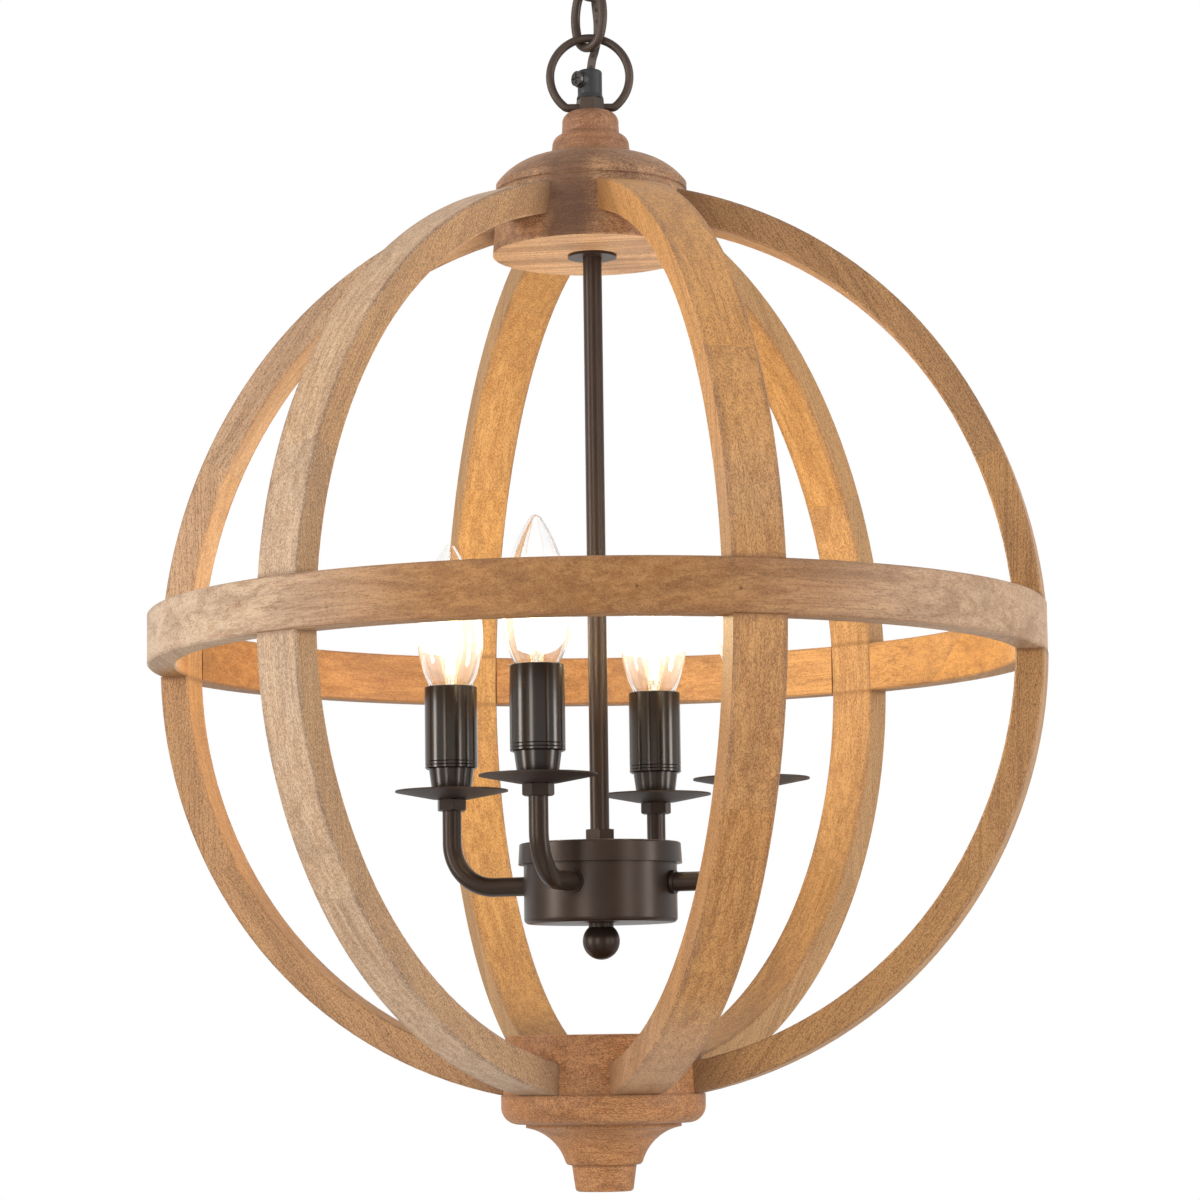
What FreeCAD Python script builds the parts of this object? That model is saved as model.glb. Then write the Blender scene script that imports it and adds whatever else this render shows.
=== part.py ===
import FreeCAD, Part
import Sketcher
import math
import os
import re

# A wooden orb chandelier that hangs from a ceiling fitting on three chain links.
# Frame: origin at the middle of the strap's face on the ceiling, +Z up, the photographed
# side towards -Y. Heights in the orb are measured from the mid-plane of its level ring.

SIZES = {
    # Orb frame
    "ring_level": -465, "ring_radius": 235, "ring_thickness": 15, "ring_height": 27,
    "rib_width": 27.5, "rib_thickness": 15, "rib_arc_level": -7.5, "rib_root": 40,
    "upper_arc_radius": 261.8, "lower_arc_radius": 238.9, "rib_count": 6,
    "rib_turn_angle": 35, "upper_end_radius": 233.8, "upper_inner_end_radius": 211,
    "lower_end_radius": 227.3, "lower_inner_end_radius": 208,
    "first_rib_angle": -70.9, "eased_edge": 0.9,
    # How far a cutting outline runs past what it cuts, and the gap of a close fit
    "cut_margin": 1, "close_fit": 0.05,
    # Top hub and its knob
    "hub_bore": 5.05, "top_hub_under": 205.7, "top_hub_foot_radius": 52.8,
    "top_hub_lip_level": 239.5, "top_hub_wall_radius": 50.2, "top_hub_lip_radius": 50.8,
    "top_hub_lip_rise": 0.4, "top_hub_shoulder_level": 243.7, "top_hub_shoulder_arc": 36,
    "top_hub_top": 257.4, "top_hub_ledge_radius": 29.5,
    "knob_foot_radius": 21.5, "knob_foot_taper": 1, "knob_step_level": 264.5,
    "knob_neck_radius": 15.4, "knob_neck_taper": 0.4, "knob_neck_level": 270.7,
    "knob_shoulder_level": 276.5, "knob_top": 283.2, "knob_top_radius": 10.6, "knob_round": 6,
    # Bottom hub
    "low_hub_top": -206.3, "low_hub_top_radius": 50.5, "low_hub_wall_foot": -237.1,
    "low_hub_wall_radius": 52, "low_hub_tier_radius": 53, "low_hub_tier_foot": -243.5,
    "ovolo_foot": -251.5, "ovolo_foot_radius": 41.5, "ovolo_arc": 9, "fillet_radius": 40.3,
    "fillet_foot": -253.7, "cavetto_foot": -271.5, "cavetto_foot_radius": 20,
    "cavetto_arc": 25.3, "bead_foot": -273.3, "bead_inset": 0.9,
    "bead_rise": 0.6, "stem_top_radius": 16.7, "stem_foot": -284.8,
    "stem_foot_radius": 15.1, "low_hub_foot": -286.6, "stem_round": 2,
    # Loop, collar, cord grip
    "loop_centre_level": 302.9, "loop_radius": 21.2, "loop_wire": 2.25, "loop_bend": 3.2,
    "loop_bend_angle": 50, "loop_end_reach": 5.6, "collar_top": 290.8, "collar_corner": 8,
    "collar_top_corner": 7.45, "collar_turn": -73, "collar_bore": 2.85, "grip_shoulder_level": 292.9,
    "grip_radius": 6.55, "grip_top": 306.2, "grip_edge": 1.5, "grip_foot_radius": 7.2,
    "grip_bore": 2.45, "grip_mouth": 3.3, "grip_screw_level": 300.5, "grip_screw_angle": 220,
    "grip_boss_radius": 4.6, "grip_boss_root": 3.95, "grip_boss_reach": 7.6, "screw_head_radius": 4.1,
    "screw_head_height": 2, "screw_shank": 1.5, "screw_slot_width": 0.9,
    "screw_slot_depth": 0.8, "screw_slot_length": 6,
    # Chain
    "link_length": 38, "link_width": 26.4, "link_wire": 2.5, "link_bow_radius": 9.5,
    "link_pitch": 27.8,
    "bottom_link_level": 319.1, "bottom_link_angle": -47, "canopy_loop_radius": 12,
    # Cord
    "cord_radius": 2.25, "wire_radius": 2.025, "branch_radius": 1.4175, "wire_top": 286,
    "taped_joint_radius": 7, "branch_start": 3, "branch_end": -58,
    # Centre tube and wiring drum
    "tube_radius": 5, "tube_bore": 3.6, "tube_top": 287, "tube_foot": -116,
    "flange_radius": 13, "flange_height": 1.5, "nut_corner": 8.43, "nut_height": 6.3,
    "nut_chamfer": 1.3, "drum_washer_radius": 10, "drum_washer_height": 0.9,
    "lid_top": -107, "lid_radius": 42.2, "lid_lip_radius": 42.8, "lid_foot": -117.9,
    "sheet_metal": 1.2, "lid_bore_gap": 0.15, "lid_round": 1, "drum_radius": 40, "drum_foot": -148.7,
    "drum_edge": 2.5, "finial_screw": 2.9, "finial_screw_top": -143, "finial_neck": 6.5,
    "ball_radius": 9.7, "ball_level": -157.9,
    # Arms and lamp holders
    "arm_level": -128.3, "arm_start": 35, "arm_reach": 84.2, "arm_bend": 24,
    "arm_top": -71, "first_arm_angle": 158.7, "arm_count": 4, "ferrule_radius": 6.2,
    "ferrule_start": 40.1, "ferrule_width": 1.7, "arm_nut_corner": 8.2,
    "arm_nut_foot": -87.2, "arm_nut_top": -80.8, "dish_foot": -80.8,
    "dish_flat_radius": 10.6, "dish_radius": 30, "dish_rim": -77, "dish_metal": 0.8,
    "holder_foot_radius": 10, "holder_cup_radius": 12, "sleeve_foot": -64.9,
    "sleeve_top": -21, "sleeve_radius": 14, "sleeve_bore": 12.75, "core_radius": 12.6,
    "core_top": -28, "core_bore": 7.15, "core_floor": -43.6, "core_wire_bore": 4,
    "core_partition": -52, "core_step": 0.5,
    "core_chamber_foot": -70, "contact_radius": 2, "contact_top": -42.9,
    "groove_level": -62.9, "groove_pitch": 1.8, "groove_depth": 0.25, "groove_width": 0.6,
    "sleeve_bevel": 0.6, "sleeve_round": 0.5,
    # Candle bulbs
    "cap_radius": 6.85, "cap_metal": 0.35, "cap_tip": -42.5, "cap_tip_radius": 2.3,
    "cap_cone_top": -38.5, "cap_flare_foot": -27.5, "cap_rim": -24.5, "cap_rim_radius": 8.45,
    "cap_contact_height": 1, "cap_inner_foot": -37.5, "cap_inner_flare": -27.3,
    "glass_wall": 0.7, "glass_neck_radius": 6.2, "glass_neck_foot": -31,
    "glass_neck_top": -26.5, "glass_collar_radius": 8, "glass_collar_level": -24.2,
    "glass_foot_radius": 11, "glass_foot": -21, "glass_low_arc": 51.3, "belly_radius": 17.5,
    "belly_level": 4, "glass_high_arc": 93.6, "glass_tip_radius": 3.4,
    "glass_tip_level": 53.4, "glass_tip": 55.5, "glass_inner_tip_radius": 2.805,
    "glass_inner_tip_level": 53.015, "glass_inner_foot": -20.7, "glass_inner_collar": -23.6,
    "glass_inner_neck": -26.1,
    "stem_radius": 2.2, "stem_base_radius": 4.6, "stem_base": -29, "stem_top": -8,
    "strand_radius": 0.75, "strand_foot": -10, "strand_top": 22, "strand_foot_reach": 1.2,
    "strand_top_reach": 4.2, "strand_count": 4, "support_radius": 0.5,
    "stem_flare_height": 3, "stem_flare_radius": 4, "stem_waist": -21,
    "stem_neck_radius": 2, "stem_point": -6.5, "strand_plate": 1,
    "strand_plate_radius": 4.5, "strand_end": 21.5,
    # Ceiling fitting
    "canopy_radius": 60, "canopy_wall_foot": -18, "canopy_floor": -28, "canopy_round": 10,
    "canopy_boss_radius": 9, "canopy_boss_height": 6, "stem_height": 9,
    "loop_collar_radius": 8, "loop_collar_height": 10, "loop_collar_round": 1.5,
    "loop_ring_gap": 0.5, "gland_offset": 22,
    "gland_flange_radius": 6.5, "gland_flange_height": 2.5, "gland_body_radius": 4.5,
    "gland_top": -20, "gland_bore": 2.65, "strap_width": 24, "strap_thickness": 2, "strap_ear_drop": 15,
    "strap_slot_spacing": 80, "strap_slot_width": 5, "strap_slot_length": 12, "strap_side_gap": 0.3,
    "canopy_screw_level": -10, "canopy_screw_shank": 2, "canopy_screw_reach": 53,
    "canopy_hole_radius": 2.1, "ear_hole_radius": 2.02, "screw_head_reach": 2,
    "screw_head_size": 4,
    "block_length": 22, "block_width": 16, "block_top": -2, "block_foot": -14,
}

# Hand-set route of the supply cord from the cord grip to the ceiling fitting, as x, y and the
# height above the ring's mid-plane, each a corner that an arc rounds off
CORD_ROUTE = [
    (0, 0, 291.6), (0, 0, 308), (3.9, 5.9, 321.5), (4.9, 5.2, 332), (3.4, 10.3, 347),
    (1.6, 10.9, 371), (0.5, 9.8, 397), (0, 22, 428), (0, 22, 451),
]

# Long edges of the ribs and the ring curve less tightly than this
LONG_EDGE_RADIUS = 150

# Part of the shorter run beside a corner of the cord that its arc takes up
ARC_SHARE = 0.45

SIZE_WORDS = re.compile(r"\b[a-z]+(?:_[a-z]+)+\b")

doc = FreeCAD.newDocument("OrbChandelier")
sheet = doc.addObject("Spreadsheet::Sheet", "Sizes")


# Sheet and expressions

def fillSheet():
    for row, (name, number) in enumerate(SIZES.items(), start=1):
        sheet.set("A%d" % row, name)
        sheet.set("B%d" % row, str(number))
        sheet.setAlias("B%d" % row, name)
    doc.recompute()


def value(formula):
    return float(sheet.evalExpression(str(formula)))


def bound(formula):
    return SIZE_WORDS.sub(lambda word: "Sizes." + word.group(0), str(formula))


def bind(item, path, formula):
    item.setExpression(path, bound(formula))


# Bodies and sketches

def newBody(label, level="ring_level"):
    body = doc.addObject("PartDesign::Body", label)
    body.Label = label
    bind(body, "Placement.Base.z", level)
    return body


def turnBody(body, angle):
    body.Placement.Rotation = FreeCAD.Rotation(FreeCAD.Vector(0, 0, 1), 1)
    bind(body, "Placement.Rotation.Angle", angle)


def moveBody(body, radius, angle):
    bind(body, "Placement.Base.x", "%s * cos((%s) * 1 deg)" % (radius, angle))
    bind(body, "Placement.Base.y", "%s * sin((%s) * 1 deg)" % (radius, angle))


def newSketch(body, name, plane, offset=None):
    sketch = body.newObject("Sketcher::SketchObject", body.Label + "_" + name)
    support = [item for item in body.Origin.OriginFeatures if item.Role == plane][0]
    sketch.AttachmentSupport = (support, [""])
    sketch.MapMode = "FlatFace"
    if offset is not None:
        bind(sketch, "AttachmentOffset.Base.z", offset)
    return sketch


def pinPoint(sketch, edge, point, corner):
    for kind, formula in (("DistanceX", corner[0]), ("DistanceY", corner[1])):
        index = sketch.addConstraint(
            Sketcher.Constraint(kind, -1, 1, edge, point, value(formula)))
        bind(sketch, "Constraints[%d]" % index, formula)


def arcBetween(start, end, radius, side):
    # side 1 turns left on the way from start to end, side -1 turns right
    chord = end - start
    middle = (start + end) * 0.5
    reach = math.sqrt(max(radius ** 2 - (chord.Length / 2) ** 2, 0))
    normal = FreeCAD.Vector(-chord.y, chord.x, 0).normalize()
    centre = middle + normal * (side * reach)
    first, last = (start, end) if side > 0 else (end, start)
    low = math.atan2(first.y - centre.y, first.x - centre.x)
    high = math.atan2(last.y - centre.y, last.x - centre.x)
    if high < low:
        high += 2 * math.pi
    circle = Part.Circle(centre, FreeCAD.Vector(0, 0, 1), radius)
    return Part.ArcOfCircle(circle, low, high)


def drawOutline(sketch, corners, closed=True):
    # A corner is (x, y), or (x, y, radius, side) where an arc leads to it
    places = [FreeCAD.Vector(value(c[0]), value(c[1]), 0) for c in corners]
    ends = []
    steps = range(len(corners)) if closed else range(1, len(corners))
    for step in steps:
        start, end, corner = places[step - 1], places[step], corners[step]
        if len(corner) == 4:
            edge = sketch.addGeometry(arcBetween(start, end, value(corner[2]), corner[3]))
            index = sketch.addConstraint(Sketcher.Constraint("Radius", edge, value(corner[2])))
            bind(sketch, "Constraints[%d]" % index, corner[2])
            ends.append((edge, 1, 2) if corner[3] > 0 else (edge, 2, 1))
        else:
            edge = sketch.addGeometry(Part.LineSegment(start, end))
            ends.append((edge, 1, 2))
    for order, (edge, first, last) in enumerate(ends):
        after = ends[(order + 1) % len(ends)]
        if closed or order + 1 < len(ends):
            sketch.addConstraint(Sketcher.Constraint("Coincident", edge, last, after[0], after[1]))
    for step, (edge, first, last) in zip(steps, ends):
        pinPoint(sketch, edge, last, corners[step])
    if not closed:
        pinPoint(sketch, ends[0][0], ends[0][1], corners[0])


def drawCircle(sketch, x, y, radius):
    centre = FreeCAD.Vector(value(x), value(y), 0)
    edge = sketch.addGeometry(Part.Circle(centre, FreeCAD.Vector(0, 0, 1), value(radius)))
    pinPoint(sketch, edge, 3, (x, y))
    index = sketch.addConstraint(Sketcher.Constraint("Radius", edge, value(radius)))
    bind(sketch, "Constraints[%d]" % index, radius)


def drawHexagon(sketch, corner_radius, first_corner="0"):
    corners = []
    for step in range(6):
        angle = "(%d + %s) * 1 deg" % (step * 60, first_corner)
        corners.append(("%s * cos(%s)" % (corner_radius, angle),
                        "%s * sin(%s)" % (corner_radius, angle)))
    drawOutline(sketch, corners)


def box(x_low, y_low, x_high, y_high):
    return [(x_low, y_low), (x_high, y_low), (x_high, y_high), (x_low, y_high)]


# Features

def feature(body, kind, name):
    item = body.newObject("PartDesign::" + kind, body.Label + "_" + name)
    body.Tip = item
    return item


def revolve(body, name, corners, kind="Revolution"):
    sketch = newSketch(body, name + "_outline", "XZ_Plane")
    drawOutline(sketch, corners)
    turn = feature(body, kind, name)
    turn.Profile = sketch
    turn.ReferenceAxis = (sketch, ["V_Axis"])
    turn.Angle = 360
    return turn


def extrude(body, name, sketch, length, kind="Pad", both=False):
    item = feature(body, kind, name)
    item.Profile = sketch
    if both:
        item.SideType = "Symmetric"
    bind(item, "Length", length)
    return item


def sweep(body, name, spine, profile, kind="AdditivePipe"):
    item = feature(body, kind, name)
    item.Profile = profile
    item.Spine = (spine, [])
    return item


def repeatAround(body, name, item, count):
    pattern = feature(body, "PolarPattern", name)
    pattern.Originals = [item]
    pattern.Axis = ([part for part in body.Origin.OriginFeatures if part.Role == "Z_Axis"][0], [""])
    pattern.Angle = 360
    bind(pattern, "Occurrences", count)
    return pattern


def turned(label, corners, level="ring_level"):
    body = newBody(label, level)
    revolve(body, "turning", corners)
    return body


# Wooden orb

def hubWall():
    # Outer wall of the top hub, from its under side up to the shoulder
    return [("top_hub_foot_radius", "top_hub_under"), ("top_hub_wall_radius", "top_hub_lip_level"),
            ("top_hub_lip_radius", "top_hub_lip_level + top_hub_lip_rise"),
            ("top_hub_lip_radius", "top_hub_shoulder_level")]


def hubShoulder():
    # Domed shoulder, from the lip up to the flat ledge round the knob's foot
    return ("top_hub_ledge_radius", "top_hub_top", "top_hub_shoulder_arc", 1)


def lowHubWall():
    # Outer wall of the bottom hub, from the foot of its widest tier up to its top face
    return [("low_hub_tier_radius", "low_hub_wall_foot"),
            ("low_hub_wall_radius", "low_hub_wall_foot"), ("low_hub_top_radius", "low_hub_top")]


def makeTopHub():
    return turned("top_hub", [("hub_bore", "top_hub_under")] + hubWall()
                  + [hubShoulder(), ("hub_bore", "top_hub_top")])


def makeKnob():
    return turned("top_hub_knob", [
        ("hub_bore", "top_hub_top"), ("knob_foot_radius", "top_hub_top"),
        ("knob_foot_radius - knob_foot_taper", "knob_step_level"),
        ("knob_neck_radius", "knob_neck_level", "knob_round", 1),
        ("knob_neck_radius - knob_neck_taper", "knob_shoulder_level"),
        ("knob_top_radius", "knob_top", "knob_round", 1), ("hub_bore", "knob_top")])


def makeBottomHub():
    return turned("bottom_hub", [
        ("0", "low_hub_foot"), ("stem_foot_radius - stem_round", "low_hub_foot"),
        ("stem_foot_radius", "stem_foot", "stem_round", 1),
        ("stem_top_radius", "bead_foot"), ("cavetto_foot_radius - bead_inset", "bead_foot + bead_rise"),
        ("cavetto_foot_radius", "cavetto_foot"),
        ("fillet_radius", "fillet_foot", "cavetto_arc", -1),
        ("fillet_radius", "ovolo_foot"), ("ovolo_foot_radius", "ovolo_foot"),
        ("low_hub_tier_radius", "low_hub_tier_foot", "ovolo_arc", 1)]
        + lowHubWall() + [("0", "low_hub_top")])


def turnPoint(arc_radius, inset, side):
    # Where a rib's edge passes from its wide arc to the tighter arc that runs to the hub
    turn = "(rib_turn_angle * 1 deg)"
    return ("ring_radius - %s + (%s - %s) * cos%s" % (arc_radius, arc_radius, inset, turn),
            "rib_arc_level + %s * (%s - %s) * sin%s" % (side, arc_radius, inset, turn))


def rootPoint(arc_radius, inset, end_radius, side):
    # Where the tighter arc meets the rib's root radius
    turn = "(rib_turn_angle * 1 deg)"
    shift = "(%s - %s - %s)" % (arc_radius, inset, end_radius)
    centre = "(ring_radius - %s + %s * cos%s)" % (arc_radius, shift, turn)
    rise = "(%s * sin%s + sqrt(%s^2 - (rib_root - %s)^2))" % (shift, turn, end_radius, centre)
    return ("rib_root", "rib_arc_level + %s * %s" % (side, rise))


def ribOutline():
    upper, lower = "upper_arc_radius", "lower_arc_radius"
    inner = "ring_radius - rib_thickness"
    return [
        rootPoint(lower, "0", "lower_end_radius", "-1"),
        turnPoint(lower, "0", "-1") + ("lower_end_radius", 1),
        ("ring_radius", "rib_arc_level", lower, 1),
        turnPoint(upper, "0", "1") + (upper, 1),
        rootPoint(upper, "0", "upper_end_radius", "1") + ("upper_end_radius", 1),
        rootPoint(upper, "rib_thickness", "upper_inner_end_radius", "1"),
        turnPoint(upper, "rib_thickness", "1") + ("upper_inner_end_radius", -1),
        (inner, "rib_arc_level", upper + " - rib_thickness", -1),
        turnPoint(lower, "rib_thickness", "-1") + (lower + " - rib_thickness", -1),
        rootPoint(lower, "rib_thickness", "lower_inner_end_radius", "-1")
        + ("lower_inner_end_radius", -1)]


def easeLongEdges(body, base):
    doc.recompute()
    names = []
    for number, edge in enumerate(base.Shape.Edges, start=1):
        if edge.Curve.TypeId == "Part::GeomCircle" and edge.Curve.Radius > LONG_EDGE_RADIUS:
            names.append("Edge%d" % number)
    easing = feature(body, "Chamfer", "eased_edges")
    easing.Base = (base, names)
    bind(easing, "Size", "eased_edge")
    return easing


def makeRib(number):
    body = newBody("rib_%d" % (number + 1))
    outline = newSketch(body, "arc_outline", "XZ_Plane")
    drawOutline(outline, ribOutline())
    band = extrude(body, "band", outline, "rib_width", both=True)
    easeLongEdges(body, band)
    notch = newSketch(body, "notch_outline", "XZ_Plane")
    drawOutline(notch, box("ring_radius - ring_thickness / 2", "-ring_height / 2",
                           "ring_radius + ring_thickness", "ring_height / 2"))
    extrude(body, "notch", notch, "rib_width + cut_margin", "Pocket", both=True)
    revolve(body, "top_butt", [("0", "top_hub_under")] + hubWall()
            + [hubShoulder(), ("0", "top_hub_top")], "Groove")
    revolve(body, "foot_butt", [
        ("0", "low_hub_tier_foot"), ("low_hub_tier_radius", "low_hub_tier_foot")]
        + lowHubWall() + [("0", "low_hub_top")], "Groove")
    turnBody(body, "first_rib_angle + %d * 360 / rib_count" % number)
    return body


def makeRing():
    body = newBody("equator_ring")
    hoop = revolve(body, "hoop", box("ring_radius - ring_thickness", "-ring_height / 2",
                                     "ring_radius", "ring_height / 2"))
    easeLongEdges(body, hoop)
    notch = newSketch(body, "notch_outline", "XY_Plane")
    drawOutline(notch, box("ring_radius - ring_thickness * 2", "-rib_width / 2",
                           "ring_radius - ring_thickness / 2", "rib_width / 2"))
    cut = extrude(body, "notch", notch, "ring_height + cut_margin", "Pocket", both=True)
    repeatAround(body, "notches", cut, "rib_count")
    turnBody(body, "first_rib_angle")
    return body


# Loop, collar and cord grip

def makeHubLoop():
    body = newBody("hub_loop")
    path = newSketch(body, "wire_path", "XZ_Plane")
    tilt = "loop_bend_angle * 1 deg"
    end_level = "loop_centre_level - (loop_radius - loop_bend) * sin(%s) - loop_bend" % tilt
    bend_start = "(loop_radius - loop_bend) * cos(%s)" % tilt
    join_x = "loop_radius * cos(%s)" % tilt
    join_level = "loop_centre_level - loop_radius * sin(%s)" % tilt
    drawOutline(path, [
        ("loop_end_reach", end_level), (bend_start, end_level),
        (join_x, join_level, "loop_bend", 1),
        ("0", "loop_centre_level + loop_radius", "loop_radius", 1),
        ("-" + join_x, join_level, "loop_radius", 1),
        ("-" + bend_start, end_level, "loop_bend", 1),
        ("-loop_end_reach", end_level)], closed=False)
    wire = newSketch(body, "wire_section", "YZ_Plane", "loop_end_reach")
    drawCircle(wire, "0", end_level, "loop_wire")
    sweep(body, "wire", path, wire)
    hexagon = newSketch(body, "collar_outline", "XY_Plane", "knob_top")
    drawHexagon(hexagon, "collar_corner", "collar_turn")
    collar = extrude(body, "collar", hexagon, "collar_top - knob_top")
    narrowing = "(collar_corner - collar_top_corner)"
    bind(collar, "TaperAngle", "-atan(%s / (collar_top - knob_top))" % narrowing)
    revolve(body, "collar_bore", [
        ("0", "knob_top"), ("hub_bore", "knob_top"), ("hub_bore", "tube_top"),
        ("collar_bore", "tube_top"), ("collar_bore", "collar_top"),
        ("0", "collar_top")], "Groove")
    return body


def makeGrip():
    body = newBody("cord_grip")
    revolve(body, "barrel", [
        ("grip_bore", "collar_top"), ("grip_foot_radius", "collar_top"),
        ("grip_radius", "grip_shoulder_level"), ("grip_radius", "grip_top - grip_edge"),
        ("grip_radius - grip_edge", "grip_top", "grip_edge", 1), ("grip_mouth", "grip_top"),
        ("grip_bore", "grip_top - grip_boss_radius")])
    boss = newSketch(body, "boss_outline", "YZ_Plane", "grip_boss_root")
    drawCircle(boss, "0", "grip_screw_level", "grip_boss_radius")
    extrude(body, "boss", boss, "grip_boss_reach - grip_boss_root")
    hole = newSketch(body, "screw_hole_outline", "YZ_Plane")
    drawCircle(hole, "0", "grip_screw_level", "screw_shank")
    bore = extrude(body, "screw_hole", hole, "grip_boss_reach + cut_margin", "Pocket")
    bore.Reversed = True
    turnBody(body, "grip_screw_angle")
    return body


def makeGripScrew():
    body = newBody("cord_grip_screw")
    shank = newSketch(body, "shank_outline", "YZ_Plane", "cord_radius")
    drawCircle(shank, "0", "grip_screw_level", "screw_shank")
    extrude(body, "shank", shank, "grip_boss_reach - cord_radius")
    head = newSketch(body, "head_outline", "YZ_Plane", "grip_boss_reach")
    drawCircle(head, "0", "grip_screw_level", "screw_head_radius")
    extrude(body, "head", head, "screw_head_height")
    for name, width, height in (("slot", "screw_slot_length", "screw_slot_width"),
                                ("cross_slot", "screw_slot_width", "screw_slot_length")):
        slot = newSketch(body, name + "_outline", "YZ_Plane",
                         "grip_boss_reach + screw_head_height - screw_slot_depth")
        drawOutline(slot, box("-%s / 2" % width, "grip_screw_level - %s / 2" % height,
                              "%s / 2" % width, "grip_screw_level + %s / 2" % height))
        cut = extrude(body, name, slot, "screw_slot_depth + cut_margin", "Pocket")
        cut.Reversed = True
    turnBody(body, "grip_screw_angle")
    return body


# Chain

def linkPath():
    # Oval line of the wire's middle: a tight bow at each end and a wide arc down each side
    half = "(link_width / 2 - link_wire)"
    top = "(link_length - 2 * link_wire)"
    bow = "link_bow_radius"
    rise = "(%s / 2 - %s)" % (top, bow)
    side = "((%s^2 + %s^2 - %s^2) / (2 * (%s - %s)))" % (half, rise, bow, half, bow)
    reach = "(%s * (%s - %s) / (%s - %s))" % (bow, side, half, side, bow)
    climb = "(%s * %s / (%s - %s))" % (rise, side, side, bow)
    low = "%s / 2 - %s" % (top, climb)
    high = "%s / 2 + %s" % (top, climb)
    return [("0", "0", bow, 1), (reach, low, bow, 1), (half, top + " / 2", side, 1),
            (reach, high, side, 1), ("0", top, bow, 1), ("-" + reach, high, bow, 1),
            ("-" + half, top + " / 2", side, 1), ("-" + reach, low, side, 1)]


def makeLink(label, number):
    # The link stands in its own XZ plane with the middle of its bottom bow's wire at z 0
    body = newBody(label, "ring_level + bottom_link_level + %d * link_pitch" % number)
    corners = linkPath()
    path = newSketch(body, "wire_path", "XZ_Plane")
    drawOutline(path, corners)
    widest_x, widest_z = corners[2][:2]
    wire = newSketch(body, "wire_section", "XY_Plane", widest_z)
    drawCircle(wire, widest_x, "0", "link_wire")
    sweep(body, "wire", path, wire)
    turnBody(body, "bottom_link_angle + %d * 90" % number)
    return body


def makeCanopyLoop():
    body = newBody("canopy_loop", "canopy_floor")
    ring_level = "-loop_collar_height - canopy_loop_radius - loop_ring_gap"
    section = newSketch(body, "ring_section", "XY_Plane", ring_level)
    drawCircle(section, "canopy_loop_radius", "0", "link_wire")
    ring = feature(body, "Revolution", "ring")
    ring.Profile = section
    ring.ReferenceAxis = (section, ["V_Axis"])
    ring.Angle = 360
    revolve(body, "collar", [
        ("0", "-loop_collar_height"),
        ("loop_collar_radius - loop_collar_round", "-loop_collar_height"),
        ("loop_collar_radius", "-loop_collar_height + loop_collar_round",
         "loop_collar_round", 1),
        ("loop_collar_radius", "0"), ("tube_radius", "0"), ("tube_radius", "stem_height"),
        ("0", "stem_height")])
    turnBody(body, "bottom_link_angle + 90")
    return body


# Centre tube and wiring drum

def makeFlange():
    return turned("hub_flange", box("hub_bore", "top_hub_under - flange_height",
                                    "flange_radius", "top_hub_under"))


def makeCentreTube():
    return turned("centre_tube", box("tube_bore", "tube_foot", "tube_radius", "tube_top"))


def makeNut(label, corner_radius, foot, height):
    body = newBody(label)
    hexagon = newSketch(body, "outline", "XY_Plane", foot)
    drawHexagon(hexagon, corner_radius)
    extrude(body, "prism", hexagon, height)
    top = "%s + %s" % (foot, height)
    outer = "%s + cut_margin" % corner_radius
    flat = "%s * cos(30 * 1 deg)" % corner_radius
    revolve(body, "top_chamfer", [
        (flat, top), (outer, "%s - nut_chamfer" % top), (outer, "%s + cut_margin" % top),
        (flat, "%s + cut_margin" % top)], "Groove")
    revolve(body, "foot_chamfer", [
        (flat, foot), (flat, "%s - cut_margin" % foot),
        (outer, "%s - cut_margin" % foot),
        (outer, "%s + nut_chamfer" % foot)], "Groove")
    revolve(body, "bore", box("0", "%s - cut_margin" % foot, "hub_bore", "%s + cut_margin" % top),
            "Groove")
    return body


def makeGroup(label, bodies):
    group = doc.addObject("Part::Compound", label)
    group.Label = label
    group.Links = bodies
    return group


def makeDrumNuts():
    upper = makeNut("upper_drum_nut", "nut_corner", "lid_top + drum_washer_height", "nut_height")
    lower = makeNut("lower_drum_nut", "nut_corner", "lid_top - sheet_metal - nut_height",
                    "nut_height")
    for nut in (upper, lower):
        turnBody(nut, "30")
    return makeGroup("drum_nuts", [upper, lower])


def makeDrumWasher():
    return turned("drum_washer", box("hub_bore", "lid_top", "drum_washer_radius",
                                     "lid_top + drum_washer_height"))


def makeLid():
    inner = "drum_radius + lid_bore_gap"
    plate = "lid_top - sheet_metal"
    return turned("drum_lid", [
        ("hub_bore", plate), (inner, plate), (inner, "lid_foot"), ("lid_lip_radius", "lid_foot"),
        ("lid_radius", "lid_top - lid_round"),
        ("lid_radius - lid_round", "lid_top", "lid_round", 1),
        ("hub_bore", "lid_top")])


def makeDrum():
    body = newBody("drum_body")
    inner = "drum_radius - sheet_metal"
    floor = "drum_foot + sheet_metal"
    revolve(body, "cup", [
        ("finial_screw + close_fit", "drum_foot"), ("drum_radius - drum_edge", "drum_foot"),
        ("drum_radius", "drum_foot + drum_edge", "drum_edge", 1),
        ("drum_radius", "lid_top - sheet_metal"), (inner, "lid_top - sheet_metal"),
        (inner, "drum_foot + drum_edge"),
        ("drum_radius - drum_edge", floor, "drum_edge - sheet_metal", -1),
        ("finial_screw + close_fit", floor)])
    hole = newSketch(body, "arm_hole_outline", "YZ_Plane")
    drawCircle(hole, "0", "arm_level", "tube_radius + close_fit")
    cut = extrude(body, "arm_hole", hole, "drum_radius + cut_margin", "Pocket")
    cut.Reversed = True
    repeatAround(body, "arm_holes", cut, "arm_count")
    turnBody(body, "first_arm_angle")
    return body


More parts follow.
